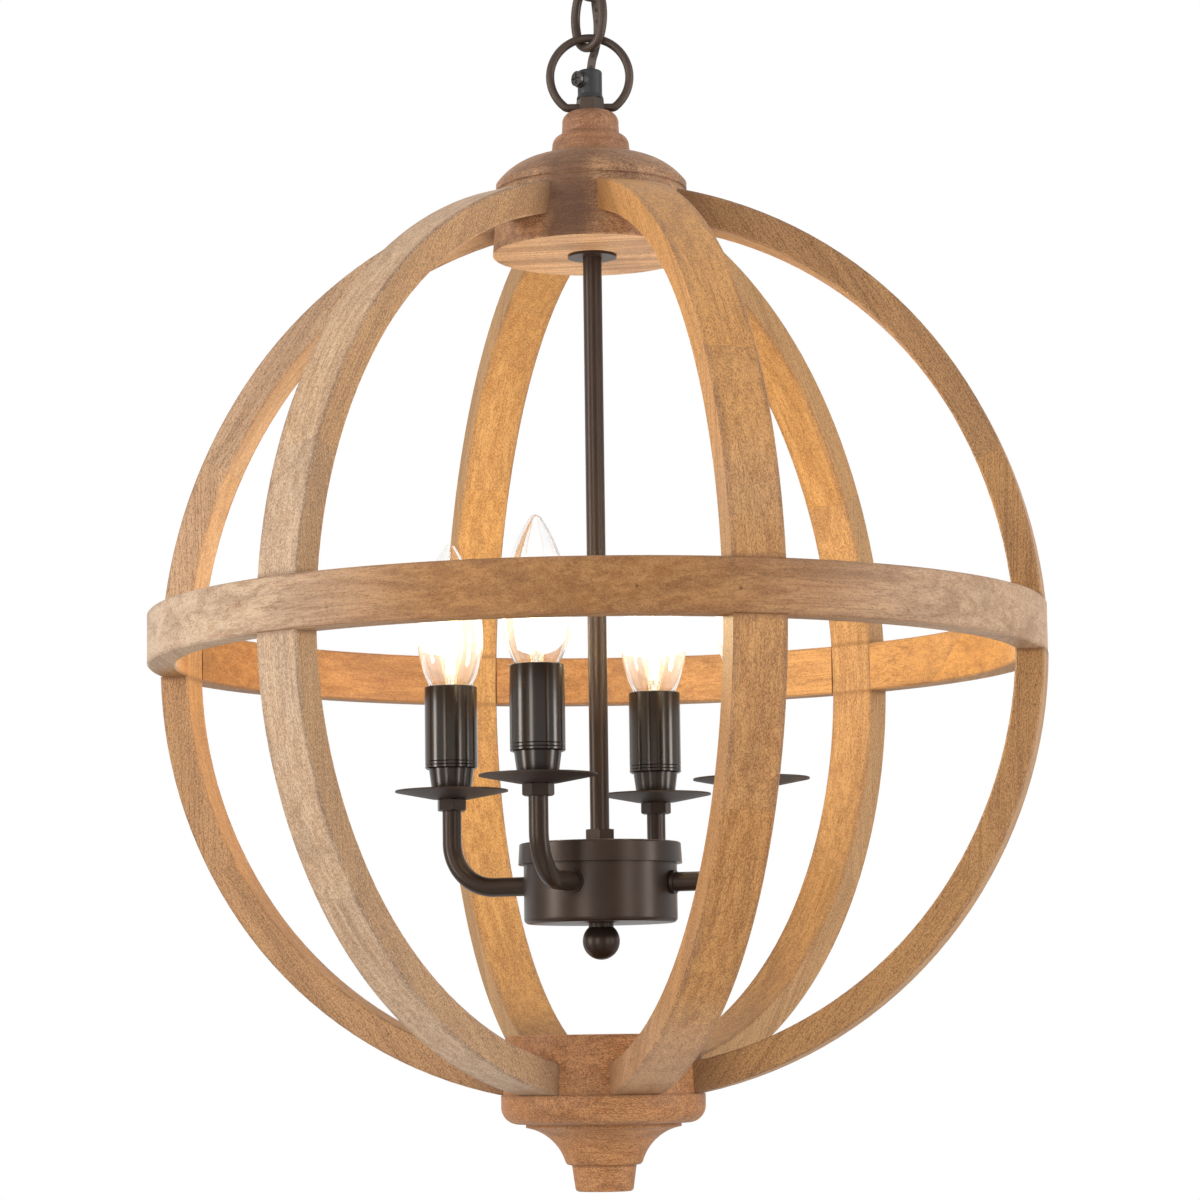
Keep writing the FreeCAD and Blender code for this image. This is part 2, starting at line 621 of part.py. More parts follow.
def makeFinial():
    neck_foot = "ball_level + sqrt(ball_radius^2 - finial_neck^2)"
    return turned("ball_finial", [
        ("0", "ball_level - ball_radius"), ("ball_radius", "ball_level", "ball_radius", 1),
        ("finial_neck", neck_foot, "ball_radius", 1), ("finial_neck", "drum_foot"),
        ("finial_screw", "drum_foot"), ("finial_screw", "finial_screw_top"),
        ("0", "finial_screw_top")])


# Arms and lamp holders

def armAngle(number):
    return "first_arm_angle + %d * 360 / arm_count" % number


def makeArm(number):
    body = newBody("arm_%d" % (number + 1))
    path = newSketch(body, "path", "XZ_Plane")
    drawOutline(path, [
        ("arm_start", "arm_level"), ("arm_reach - arm_bend", "arm_level"),
        ("arm_reach", "arm_level + arm_bend", "arm_bend", 1), ("arm_reach", "arm_top")],
        closed=False)
    outside = newSketch(body, "outer_section", "YZ_Plane", "arm_start")
    drawCircle(outside, "0", "arm_level", "tube_radius")
    sweep(body, "tube", path, outside)
    ferrule = newSketch(body, "ferrule_outline", "YZ_Plane", "ferrule_start")
    drawCircle(ferrule, "0", "arm_level", "ferrule_radius")
    extrude(body, "ferrule", ferrule, "ferrule_width")
    inside = newSketch(body, "bore_section", "YZ_Plane", "arm_start")
    drawCircle(inside, "0", "arm_level", "tube_bore")
    sweep(body, "bore", path, inside, "SubtractivePipe")
    turnBody(body, armAngle(number))
    return body


def makeArmNuts():
    nuts = []
    for number in range(int(value("arm_count"))):
        nut = makeNut("arm_nut_%d" % (number + 1), "arm_nut_corner", "arm_nut_foot",
                      "arm_nut_top - arm_nut_foot")
        moveBody(nut, "arm_reach", armAngle(number))
        turnBody(nut, armAngle(number))
        nuts.append(nut)
    return makeGroup("arm_nuts", nuts)


def atArmEnd(body, number):
    moveBody(body, "arm_reach", armAngle(number))
    turnBody(body, armAngle(number))
    return body


def makeDish(number):
    return atArmEnd(turned("drip_dish_%d" % (number + 1), [
        ("hub_bore", "dish_foot"), ("dish_flat_radius", "dish_foot"),
        ("dish_radius", "dish_rim"), ("dish_radius", "dish_rim + dish_metal"),
        ("dish_flat_radius", "dish_foot + dish_metal"),
        ("hub_bore", "dish_foot + dish_metal")]), number)


def makeCore(number):
    foot = "dish_foot + dish_metal"
    chamber = "core_chamber_foot"
    return atArmEnd(turned("holder_core_%d" % (number + 1), [
        ("hub_bore", foot), ("holder_foot_radius", foot), ("holder_cup_radius", "sleeve_foot"),
        ("core_radius", "sleeve_foot + core_step"), ("core_radius", "core_top"),
        ("core_bore", "core_top"), ("core_bore", "core_floor"),
        ("contact_radius", "core_floor"), ("contact_radius", "contact_top"),
        ("0", "contact_top"), ("0", "core_partition"), ("core_wire_bore", "core_partition"),
        ("core_wire_bore", chamber), ("hub_bore", chamber)]), number)


def makeSleeve(number):
    corners = [("sleeve_bore", "sleeve_foot"), ("sleeve_radius - sleeve_bevel", "sleeve_foot"),
               ("sleeve_radius", "sleeve_foot + sleeve_bevel")]
    for groove in (0, 1):
        middle = "groove_level + %d * groove_pitch" % groove
        corners += [
            ("sleeve_radius", "%s - groove_width / 2" % middle),
            ("sleeve_radius - groove_depth", middle),
            ("sleeve_radius", "%s + groove_width / 2" % middle)]
    corners += [("sleeve_radius", "sleeve_top - sleeve_round"),
                ("sleeve_radius - sleeve_round", "sleeve_top", "sleeve_round", 1),
                ("sleeve_bore", "sleeve_top")]
    return atArmEnd(turned("holder_sleeve_%d" % (number + 1), corners), number)


# Candle bulbs

def makeBulbCap(number):
    inner = "cap_radius - cap_metal"
    return atArmEnd(turned("bulb_cap_%d" % (number + 1), [
        ("0", "cap_tip"), ("cap_tip_radius", "cap_tip"),
        ("cap_tip_radius", "cap_tip + cap_contact_height"),
        ("cap_radius", "cap_cone_top"), ("cap_radius", "cap_flare_foot"),
        ("cap_rim_radius", "cap_rim"), ("cap_rim_radius - cap_metal", "cap_rim"),
        (inner, "cap_inner_flare"), (inner, "cap_inner_foot"),
        ("0", "cap_inner_foot")]), number)


def capRadius(reach, rise):
    # Radius of the round tip that is centred on the axis
    return "((%s)^2 + (%s)^2) / (2 * (%s))" % (reach, rise, rise)


def makeBulbGlass(number):
    wall = "glass_wall"
    inner_reach = "glass_inner_tip_radius"
    inner_level = "glass_inner_tip_level"
    rise = "glass_tip - glass_tip_level"
    inner_rise = "glass_tip - glass_wall - %s" % inner_level
    return atArmEnd(turned("bulb_glass_%d" % (number + 1), [
        ("glass_neck_radius", "glass_neck_foot"), ("glass_neck_radius", "glass_neck_top"),
        ("glass_collar_radius", "glass_collar_level"), ("glass_foot_radius", "glass_foot"),
        ("belly_radius", "belly_level", "glass_low_arc", 1),
        ("glass_tip_radius", "glass_tip_level", "glass_high_arc", 1),
        ("0", "glass_tip", capRadius("glass_tip_radius", rise), 1),
        ("0", "glass_tip - %s" % wall),
        (inner_reach, inner_level, capRadius(inner_reach, inner_rise), -1),
        ("belly_radius - %s" % wall, "belly_level", "glass_high_arc - %s" % wall, -1),
        ("glass_foot_radius - %s" % wall, "glass_inner_foot", "glass_low_arc - %s" % wall, -1),
        ("glass_collar_radius - %s" % wall, "glass_inner_collar"),
        ("glass_neck_radius - %s" % wall, "glass_inner_neck"),
        ("glass_neck_radius - %s" % wall, "glass_neck_foot")]), number)


def makeFilament(number):
    # Glass stem with a middle support and slanted glowing strands, inside the bulb
    body = newBody("bulb_filament_%d" % (number + 1))
    revolve(body, "stem", [
        ("0", "stem_base"), ("stem_base_radius", "stem_base"),
        ("stem_flare_radius", "stem_base + stem_flare_height"), ("stem_radius", "stem_waist"),
        ("stem_neck_radius", "stem_top"), ("support_radius", "stem_point"),
        ("support_radius", "strand_top - strand_plate"),
        ("strand_plate_radius", "strand_top - strand_plate"),
        ("strand_plate_radius", "strand_top"), ("0", "strand_top")])
    path = newSketch(body, "strand_path", "XZ_Plane")
    drawOutline(path, [("strand_foot_reach", "strand_foot"),
                       ("strand_top_reach", "strand_end")], closed=False)
    section = newSketch(body, "strand_section", "XY_Plane", "strand_foot")
    drawCircle(section, "strand_foot_reach", "0", "strand_radius")
    strand = sweep(body, "strand", path, section)
    repeatAround(body, "strands", strand, "strand_count")
    return atArmEnd(body, number)


# Ceiling fitting

def makeCanopy():
    body = newBody("ceiling_canopy", "0")
    inner = "canopy_radius - sheet_metal"
    floor = "canopy_floor + sheet_metal"
    revolve(body, "bowl", [
        ("hub_bore", "canopy_floor"), ("canopy_radius - canopy_round", "canopy_floor"),
        ("canopy_radius", "canopy_wall_foot", "canopy_round", 1), ("canopy_radius", "0"),
        (inner, "0"), (inner, "canopy_wall_foot"),
        ("canopy_radius - canopy_round", floor, "canopy_round - sheet_metal", -1),
        ("canopy_boss_radius", floor),
        ("canopy_boss_radius", "canopy_floor + canopy_boss_height"),
        ("hub_bore", "canopy_floor + canopy_boss_height")])
    gland_hole = newSketch(body, "gland_hole_outline", "XY_Plane", "canopy_floor - cut_margin")
    drawCircle(gland_hole, "0", "gland_offset", "gland_body_radius + close_fit")
    hole = extrude(body, "gland_hole", gland_hole, "sheet_metal + cut_margin * 2", "Pocket")
    hole.Reversed = True
    screw_holes = newSketch(body, "screw_hole_outline", "XZ_Plane")
    drawCircle(screw_holes, "0", "canopy_screw_level", "canopy_hole_radius")
    extrude(body, "screw_holes", screw_holes, "(canopy_radius + cut_margin) * 2", "Pocket", both=True)
    return body


def makeGland():
    body = turned("cord_gland", [
        ("gland_bore", "-gland_flange_height"), ("gland_flange_radius", "-gland_flange_height"),
        ("gland_flange_radius", "0"), ("gland_body_radius", "0"),
        ("gland_body_radius", "gland_top - canopy_floor"),
        ("gland_bore", "gland_top - canopy_floor")], "canopy_floor")
    bind(body, "Placement.Base.y", "gland_offset")
    return body


def makeStrap():
    # Flat bar on the ceiling with its two ends turned down to hold the canopy's side screws
    body = newBody("ceiling_strap", "0")
    ear = "sqrt((canopy_radius - sheet_metal)^2 - (strap_width / 2)^2) - strap_side_gap"
    outline = newSketch(body, "outline", "YZ_Plane")
    drawOutline(outline, [
        ("-(%s)" % ear, "0"), ("-(%s)" % ear, "-strap_ear_drop"),
        ("-(%s) + strap_thickness" % ear, "-strap_ear_drop"),
        ("-(%s) + strap_thickness" % ear, "-strap_thickness"),
        ("%s - strap_thickness" % ear, "-strap_thickness"),
        ("%s - strap_thickness" % ear, "-strap_ear_drop"),
        (ear, "-strap_ear_drop"), (ear, "0")])
    extrude(body, "bar", outline, "strap_width", both=True)
    slots = newSketch(body, "slot_outline", "XY_Plane")
    reach = "(strap_slot_length - strap_slot_width) / 2"
    half = "strap_slot_width / 2"
    for side in (1, -1):
        middle = "%d * strap_slot_spacing / 2" % side
        drawOutline(slots, [
            (half, "%s - %s" % (middle, reach), half, 1),
            (half, "%s + %s" % (middle, reach)),
            ("0", "%s + %s + %s" % (middle, reach, half), half, 1),
            ("-" + half, "%s + %s" % (middle, reach), half, 1),
            ("-" + half, "%s - %s" % (middle, reach)),
            ("0", "%s - %s - %s" % (middle, reach, half), half, 1)])
    extrude(body, "slots", slots, "(strap_thickness + cut_margin) * 2", "Pocket", both=True)
    holes = newSketch(body, "ear_hole_outline", "XZ_Plane")
    drawCircle(holes, "0", "canopy_screw_level", "ear_hole_radius")
    extrude(body, "ear_holes", holes, "canopy_radius * 2", "Pocket", both=True)
    return body


def makeCanopyScrews():
    screws = []
    for number, side in enumerate((1, -1), start=1):
        body = newBody("canopy_screw_%d" % number, "0")
        shank = newSketch(body, "shank_outline", "YZ_Plane", "canopy_screw_reach")
        drawCircle(shank, "0", "canopy_screw_level", "canopy_screw_shank")
        extrude(body, "shank", shank, "canopy_radius - canopy_screw_reach")
        head = newSketch(body, "head_outline", "YZ_Plane", "canopy_radius")
        drawCircle(head, "0", "canopy_screw_level", "screw_head_size")
        extrude(body, "head", head, "screw_head_reach")
        turnBody(body, "%d * 90" % side)
        screws.append(body)
    return makeGroup("canopy_screws", screws)


def makeTerminalBlock():
    body = newBody("terminal_block", "0")
    outline = newSketch(body, "outline", "XY_Plane", "block_foot")
    drawOutline(outline, box("-block_length / 2", "gland_offset - block_width / 2",
                             "block_length / 2", "gland_offset + block_width / 2"))
    extrude(body, "case", outline, "block_top - block_foot")
    return body


# Supply cord and inner wiring, both swept along straight runs joined by tangent arcs

def roundedPath(points):
    edges = []
    radii = []
    last = points[0]
    for before, corner, after in zip(points, points[1:], points[2:]):
        way_in = corner - before
        way_out = after - corner
        run = min(way_in.Length, way_out.Length)
        half_turn = way_in.getAngle(way_out) / 2
        reach = ARC_SHARE * run
        radii.append(reach / math.tan(half_turn))
        start = corner - way_in.normalize() * reach
        end = corner + way_out.normalize() * reach
        towards = ((start + end) * 0.5 - corner).normalize()
        middle = corner + towards * (radii[-1] / math.cos(half_turn) - radii[-1])
        edges.append(Part.LineSegment(last, start).toShape())
        edges.append(Part.Arc(start, middle, end).toShape())
        last = end
    edges.append(Part.LineSegment(last, points[-1]).toShape())
    return Part.Wire(edges), radii


def sweptTube(path, start, direction, radius):
    section = Part.Wire([Part.makeCircle(radius, start, direction)])
    return path.makePipeShell([section], True, False)


def makeCord():
    points = [FreeCAD.Vector(x, y, level) for x, y, level in CORD_ROUTE]
    path, radii = roundedPath(points)
    radius = value("cord_radius")
    cord = doc.addObject("Part::Feature", "supply_cord")
    cord.Label = "supply_cord"
    cord.Shape = sweptTube(path, points[0], points[1] - points[0], radius)
    cord.Placement.Base.z = value("ring_level")
    print("cord length %.1f mm, arc radii %s" % (path.Length, ["%.1f" % item for item in radii]))
    print("cord volume %.1f, section times length %.1f"
          % (cord.Shape.Volume, math.pi * radius ** 2 * path.Length))
    return cord


def makeHarness():
    # One wire down the centre tube, a taped joint in the drum and a wire along each arm
    level = value("arm_level")
    reach = value("arm_reach")
    bend = value("arm_bend")
    joint = FreeCAD.Vector(0, 0, level)
    solid = Part.makeCylinder(value("wire_radius"), value("wire_top") - level, joint)
    solid = solid.fuse(Part.makeSphere(value("taped_joint_radius"), joint))
    corner = FreeCAD.Vector(reach, 0, level)
    diagonal = FreeCAD.Vector(1, 0, -1).normalize() * bend
    middle = FreeCAD.Vector(reach - bend, 0, level + bend) + diagonal
    start = FreeCAD.Vector(value("branch_start"), 0, level)
    path = Part.Wire([
        Part.LineSegment(start, corner - FreeCAD.Vector(bend, 0, 0)).toShape(),
        Part.Arc(corner - FreeCAD.Vector(bend, 0, 0), middle,
                 corner + FreeCAD.Vector(0, 0, bend)).toShape(),
        Part.LineSegment(corner + FreeCAD.Vector(0, 0, bend),
                         FreeCAD.Vector(reach, 0, value("branch_end"))).toShape()])
    tube = sweptTube(path, start, FreeCAD.Vector(1, 0, 0), value("branch_radius"))
    count = int(value("arm_count"))
    for number in range(count):
        arm = tube.copy()
        arm.rotate(FreeCAD.Vector(0, 0, 0), FreeCAD.Vector(0, 0, 1),
                   value("first_arm_angle") + number * 360 / count)
        solid = solid.fuse(arm)
    harness = doc.addObject("Part::Feature", "wiring_harness")
    harness.Label = "wiring_harness"
    harness.Shape = solid
    harness.Placement.Base.z = value("ring_level")
    return harness


# Assembly and output

def makeParts():
    parts = [makeTopHub(), makeKnob(), makeBottomHub(), makeRing()]
    parts += [makeRib(number) for number in range(int(value("rib_count")))]
    parts += [makeHubLoop(), makeGrip(), makeGripScrew(), makeCanopyLoop()]
    for number, name in enumerate(("chain_link_bottom", "chain_link_middle", "chain_link_top")):
        parts.append(makeLink(name, number))
    parts += [makeFlange(), makeCentreTube(), makeDrumNuts(), makeDrumWasher(), makeLid(),
              makeDrum(), makeFinial(), makeArmNuts()]
    for number in range(int(value("arm_count"))):
        parts += [makeArm(number), makeDish(number), makeCore(number), makeSleeve(number),
                  makeBulbCap(number), makeBulbGlass(number), makeFilament(number)]
    parts += [makeCanopy(), makeGland(), makeStrap(), makeCanopyScrews(), makeTerminalBlock()]
    parts += [makeCord(), makeHarness()]
    return parts


def checkDocument(parts):
    faults = [item.Label + " " + ",".join(item.State) for item in doc.Objects
              if "Invalid" in item.State or "Error" in item.State]
    for part in parts:
        if part.Shape.isNull() or not part.Shape.isValid() or not part.Shape.Solids:
            faults.append(part.Label + " has no valid solid")
    if faults:
        raise RuntimeError("; ".join(faults))


def main():
    fillSheet()
    parts = makeParts()
    doc.recompute()
    checkDocument(parts)
    os.makedirs("parts", exist_ok=True)
    for part in parts:
        part.Shape.exportStep("parts/%s.step" % part.Label)
        print("%-20s %d solid, volume %.1f mm3"
              % (part.Label, len(part.Shape.Solids), part.Shape.Volume))


main()
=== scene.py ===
import bpy
import math
from mathutils import Matrix, Vector


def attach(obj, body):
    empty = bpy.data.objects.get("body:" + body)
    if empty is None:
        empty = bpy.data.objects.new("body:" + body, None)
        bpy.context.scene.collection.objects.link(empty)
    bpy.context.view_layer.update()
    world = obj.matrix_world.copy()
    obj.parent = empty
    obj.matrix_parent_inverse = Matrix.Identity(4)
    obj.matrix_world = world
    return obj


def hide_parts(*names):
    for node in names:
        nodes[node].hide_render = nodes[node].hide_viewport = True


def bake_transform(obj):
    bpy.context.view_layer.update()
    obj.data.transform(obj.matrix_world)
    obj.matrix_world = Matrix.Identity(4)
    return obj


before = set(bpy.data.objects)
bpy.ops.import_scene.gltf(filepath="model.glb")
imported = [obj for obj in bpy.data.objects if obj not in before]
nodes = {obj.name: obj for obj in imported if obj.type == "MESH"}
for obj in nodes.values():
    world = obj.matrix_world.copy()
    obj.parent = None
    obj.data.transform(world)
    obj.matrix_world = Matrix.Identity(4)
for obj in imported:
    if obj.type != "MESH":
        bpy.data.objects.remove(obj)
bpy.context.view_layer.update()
scene = bpy.context.scene
ringLevel = -0.465  # middle of the level ring, which the ribs and bulbs are set out from
print("frame loaded,", len(nodes), "nodes")


def newObject(name, data):
    made = bpy.data.objects.new(name, data)
    scene.collection.objects.link(made)
    return made


# node helpers, used by every finish

def wire(tree, value, socket):
    # links an output, or sets a plain number or colour
    if isinstance(value, bpy.types.NodeSocket):
        tree.links.new(value, socket)
    elif hasattr(value, "__len__") and socket.type == "RGBA":
        socket.default_value = (*value[:3], 1)
    else:
        socket.default_value = value


def newGroup(name, inputs, outputs):
    # inputs are (name, kind) or (name, kind, value), and outputs are (name, kind)
    tree = bpy.data.node_groups.new(name, "ShaderNodeTree")
    for label, kind, *value in inputs:
        socket = tree.interface.new_socket(label, in_out="INPUT", socket_type="NodeSocket" + kind)
        if value:
            socket.default_value = (*value[0], 1) if kind == "Color" else value[0]
    for label, kind in outputs:
        tree.interface.new_socket(label, in_out="OUTPUT", socket_type="NodeSocket" + kind)
    return tree, tree.nodes.new("NodeGroupInput"), tree.nodes.new("NodeGroupOutput")


def useGroup(tree, group, **values):
    node = tree.nodes.new("ShaderNodeGroup")
    node.node_tree = group
    for label, value in values.items():
        wire(tree, value, node.inputs[label])
    return node.outputs


def reckon(tree, operation, first, second=0.0):
    node = tree.nodes.new("ShaderNodeMath")
    node.operation = operation
    wire(tree, first, node.inputs[0])
    wire(tree, second, node.inputs[1])
    return node.outputs[0]


def between(tree, value, low, high, toLow=0.0, toHigh=1.0):
    # a smooth ramp from toLow at low to toHigh at high
    node = tree.nodes.new("ShaderNodeMapRange")
    node.interpolation_type = "SMOOTHSTEP"
    wire(tree, value, node.inputs["Value"])
    ends = {"From Min": low, "From Max": high, "To Min": toLow, "To Max": toHigh}
    for label, number in ends.items():
        node.inputs[label].default_value = number
    return node.outputs["Result"]


def blendColour(tree, share, first, second):
    node = tree.nodes.new("ShaderNodeMix")
    node.data_type = "RGBA"
    wire(tree, share, node.inputs[0])
    wire(tree, first, node.inputs[6])
    wire(tree, second, node.inputs[7])
    return node.outputs[2]


def vectorOf(tree, *parts):
    node = tree.nodes.new("ShaderNodeCombineXYZ")
    for part, socket in zip(parts, node.inputs):
        wire(tree, part, socket)
    return node.outputs[0]


def noise(tree, vector, scale=1.0, detail=2.0, roughness=0.5, distortion=0.0):
    node = tree.nodes.new("ShaderNodeTexNoise")
    wire(tree, vector, node.inputs["Vector"])
    node.inputs["Scale"].default_value = scale
    node.inputs["Detail"].default_value = detail
    node.inputs["Roughness"].default_value = roughness
    node.inputs["Distortion"].default_value = distortion
    return node.outputs["Fac"]


def axes(tree, vector):
    node = tree.nodes.new("ShaderNodeSeparateXYZ")
    wire(tree, vector, node.inputs[0])
    return node.outputs


def reachOf(tree, x, y):
    # distance from the upright axis
    return reckon(tree, "SQRT", reckon(tree, "ADD", reckon(tree, "MULTIPLY", x, x),
                                       reckon(tree, "MULTIPLY", y, y)))


def turned(tree, source, rotation, location=(0, 0, 0), kind="POINT"):
    node = tree.nodes.new("ShaderNodeMapping")
    node.vector_type = kind
    wire(tree, source, node.inputs["Vector"])
    node.inputs["Rotation"].default_value = rotation
    if kind == "POINT":
        node.inputs["Location"].default_value = location
    return node.outputs[0]


def newFinish(name):
    material = bpy.data.materials.new(name)
    material.use_nodes = True
    tree = material.node_tree
    return material, tree, tree.nodes["Principled BSDF"]


def raiseSurface(tree, shader, height, strength, distance):
    bump = tree.nodes.new("ShaderNodeBump")
    bump.inputs["Strength"].default_value = strength
    bump.inputs["Distance"].default_value = distance
    wire(tree, height, bump.inputs["Height"])
    wire(tree, bump.outputs["Normal"], shader.inputs["Normal"])


def dress(tree, shader, pattern, specular, strength, distance):
    # puts a group's colour, roughness and height on a shader
    wire(tree, pattern["Colour"], shader.inputs["Base Color"])
    wire(tree, pattern["Roughness"], shader.inputs["Roughness"])
    shader.inputs["Specular IOR Level"].default_value = specular
    raiseSurface(tree, shader, pattern["Height"], strength, distance)


def paint(name, material):
    piece = nodes[name]
    if not piece.data.materials:
        piece.data.materials.append(material)
    for place in range(len(piece.material_slots)):
        piece.material_slots[place].material = material


# camera, world and lamps

view = {
    "place": (0.0017, -1.9692, -0.6824),
    "pitch": 6.90,
    "roll": 0.775,
    "lens": 113.1,
    "sensor": 36.0,
    "clip": (0.05, 100),
}


def makeCamera():
    data = bpy.data.cameras.new("photoCamera")
    data.lens = view["lens"]
    data.sensor_width = view["sensor"]
    data.sensor_fit = "HORIZONTAL"
    data.clip_start, data.clip_end = view["clip"]
    camera = newObject("photoCamera", data)
    pitch = Matrix.Rotation(math.radians(90 + view["pitch"]), 4, "X")
    roll = Matrix.Rotation(math.radians(-view["roll"]), 4, "Z")
    camera.matrix_world = Matrix.Translation(view["place"]) @ pitch @ roll
    scene.camera = camera


studio = {
    "ambient": (0.31, 0.31, 0.315),
    "backdrop": (1, 1, 1),
    "middle": (0, 0, -0.46),
    "lamps": [
        # name, way to it from the middle, distance, height above it, width, height, power, colour
        ("leftStrip", (-0.96, -0.28), 2.2, 0.20, 0.50, 1.9, 30, (1.0, 0.985, 0.96)),
        ("frontLeftStrip", (-0.42, -0.91), 2.6, 0.00, 0.55, 1.9, 22, (1.0, 0.99, 0.97)),
        ("rightStrip", (0.97, -0.22), 2.2, 0.10, 0.50, 1.9, 25, (0.98, 0.985, 1.0)),
        ("frontRightStrip", (0.66, -0.75), 2.6, 0.00, 0.32, 1.8, 14, (1.0, 0.99, 0.97)),
        ("topPanel", (0.10, -0.15), 0.4, 2.0, 1.4, 1.4, 8, (1.0, 1.0, 1.0)),
    ],
    "floorLevel": -2.2,
    "floorHalf": 28.0,
    "floorColour": (0.86, 0.855, 0.845),
    "floorGlow": 0.52,
    "floorRoughness": 0.9,
    "floorMottle": 3, "floorPaler": 1.02,  # its scale, and how much paler its pale patches are
}


def backgroundRays(tree):
    # 1 for the rays that see the background: straight, off gloss or through glass
    rays = tree.nodes.new("ShaderNodeLightPath")
    share = rays.outputs["Is Camera Ray"]
    for label in ("Is Glossy Ray", "Is Transmission Ray"):
        share = reckon(tree, "MAXIMUM", share, rays.outputs[label])
    return share


def makeWorld():
    world = bpy.data.worlds.new("studioWorld")
    world.use_nodes = True
    tree = world.node_tree
    tree.nodes.clear()
    output = tree.nodes.new("ShaderNodeOutputWorld")
    mix = tree.nodes.new("ShaderNodeMixShader")
    wire(tree, backgroundRays(tree), mix.inputs[0])
    for place, colour in ((1, studio["ambient"]), (2, studio["backdrop"])):
        background = tree.nodes.new("ShaderNodeBackground")
        background.inputs["Color"].default_value = (*colour, 1)
        wire(tree, background.outputs[0], mix.inputs[place])
    wire(tree, mix.outputs[0], output.inputs["Surface"])
    scene.world = world


def makeLamps():
    middle = Vector(studio["middle"])
    for name, way, distance, rise, width, height, power, colour in studio["lamps"]:
        data = bpy.data.lights.new(name, "AREA")
        data.shape = "RECTANGLE"
        data.size = width
        data.size_y = height
        data.energy = power
        data.color = colour
        lamp = newObject(name, data)
        lamp.visible_camera = False
        back = Vector((way[0] * distance, way[1] * distance, rise))
        turn = back.to_track_quat("Z", "Y").to_matrix().to_4x4()
        lamp.matrix_world = Matrix.Translation(middle + back) @ turn


def makeFloor():
    bpy.ops.object.select_all(action="DESELECT")
    bpy.ops.mesh.primitive_plane_add(size=2 * studio["floorHalf"],
                                     location=(0, 0, studio["floorLevel"]))
    floor = bpy.context.object
    floor.name = "studioFloor"
    bpy.ops.object.transform_apply(location=True, rotation=True, scale=True)
    material, tree, shader = newFinish("floorPaint")
    coords = tree.nodes.new("ShaderNodeTexCoord")
    pale = studio["floorColour"]
    paler = [min(1, shade * studio["floorPaler"]) for shade in pale]
    mottle = noise(tree, coords.outputs["Object"], studio["floorMottle"])
    wire(tree, blendColour(tree, mottle, pale, paler), shader.inputs["Base Color"])
    wire(tree, reckon(tree, "MULTIPLY", backgroundRays(tree), studio["floorGlow"]),
         shader.inputs["Emission Strength"])
    shader.inputs["Emission Color"].default_value = (*pale, 1)
    shader.inputs["Roughness"].default_value = studio["floorRoughness"]
    floor.data.materials.append(material)


makeCamera()
makeWorld()
makeLamps()
makeFloor()
scene.view_settings.view_transform = "Standard"
print("camera, lamps and floor set")


# wood

woodSizes = {
    # each noise of the figure: length and width of its marks, detail, roughness, distortion
    "streak": (0.045, 0.0034, 4, 0.6, 0.0),
    "band": (0.16, 0.013, 3, 0.5, 0.8),
    "line": (0.12, 0.0010, 2, 0.5, 0.5),
    "mottle": (0.0012, 0.00060, 2, 0.6, 0.0),
    "pore": (0.0021, 0.00042, 1, 0.5, 0.0),
    "tick": (0.0055, 0.00080, 2, 0.6, 0.0),
    "patch": (0.045, 0.012, 3, 0.55, 0.4),
    # where each noise starts to show and where it is full
    "streakShows": (0.34, 0.66), "bandShows": (0.44, 0.70), "lineShows": (0.51, 0.60),
    "tickShows": (0.55, 0.68), "poreShows": (0.62, 0.72),
    "mottleDarkens": (0.46, 0.66), "mottlePales": (0.52, 0.34),
    # ramps over the streaks, the patches or a length's tone: from, to and the values there
    "sideOverStreaks": (0.2, 0.8, 0.6, 0.9), "tintAndPaintedLightOverStreaks": (0.25, 0.60, 0.5, 1),
    "linesOverPatches": (0.30, 0.60, 0.35, 1), "smokeOverPatches": (0.30, 0.65, 0.25, 1),
    "roughness": (0.2, 0.8, 0.46, 0.60),
    "toneValue": (0, 1, 0.955, 1.035), "toneSaturation": (0, 1, 0.97, 1.03),
    # how strongly each darkens the wood
    "tickPerLine": 0.5, "tickOnSide": 0.45, "poreStrength": 1.3, "stainStrength": 0.75,
    "jointStrength": 0.16, "grimeStrength": 0.55,
    # relief, and the bump that it is given
    "streakHeight": 0.5, "mottleHeight": -0.35, "poreDepth": 0.4, "jointDepth": 0.2,
    "poreRoughness": 0.15, "bumpStrength": 0.4, "bumpDistance": 0.0004,
    "specular": 0.30,
    "lengthShift": 1.73,  # of the grain from one sawn length to the next
    "jointWidth": (0.0001, 0.0006),
    "sideFacing": (0.86, 0.96),  # how squarely a side face looks along the bend's axis
    "arrisWidth": 0.0045,
    # pale colour of the painted sheen on the ring's front ends
    "tintAndPaintedLightColour": (0.70, 0.54, 0.39),
}


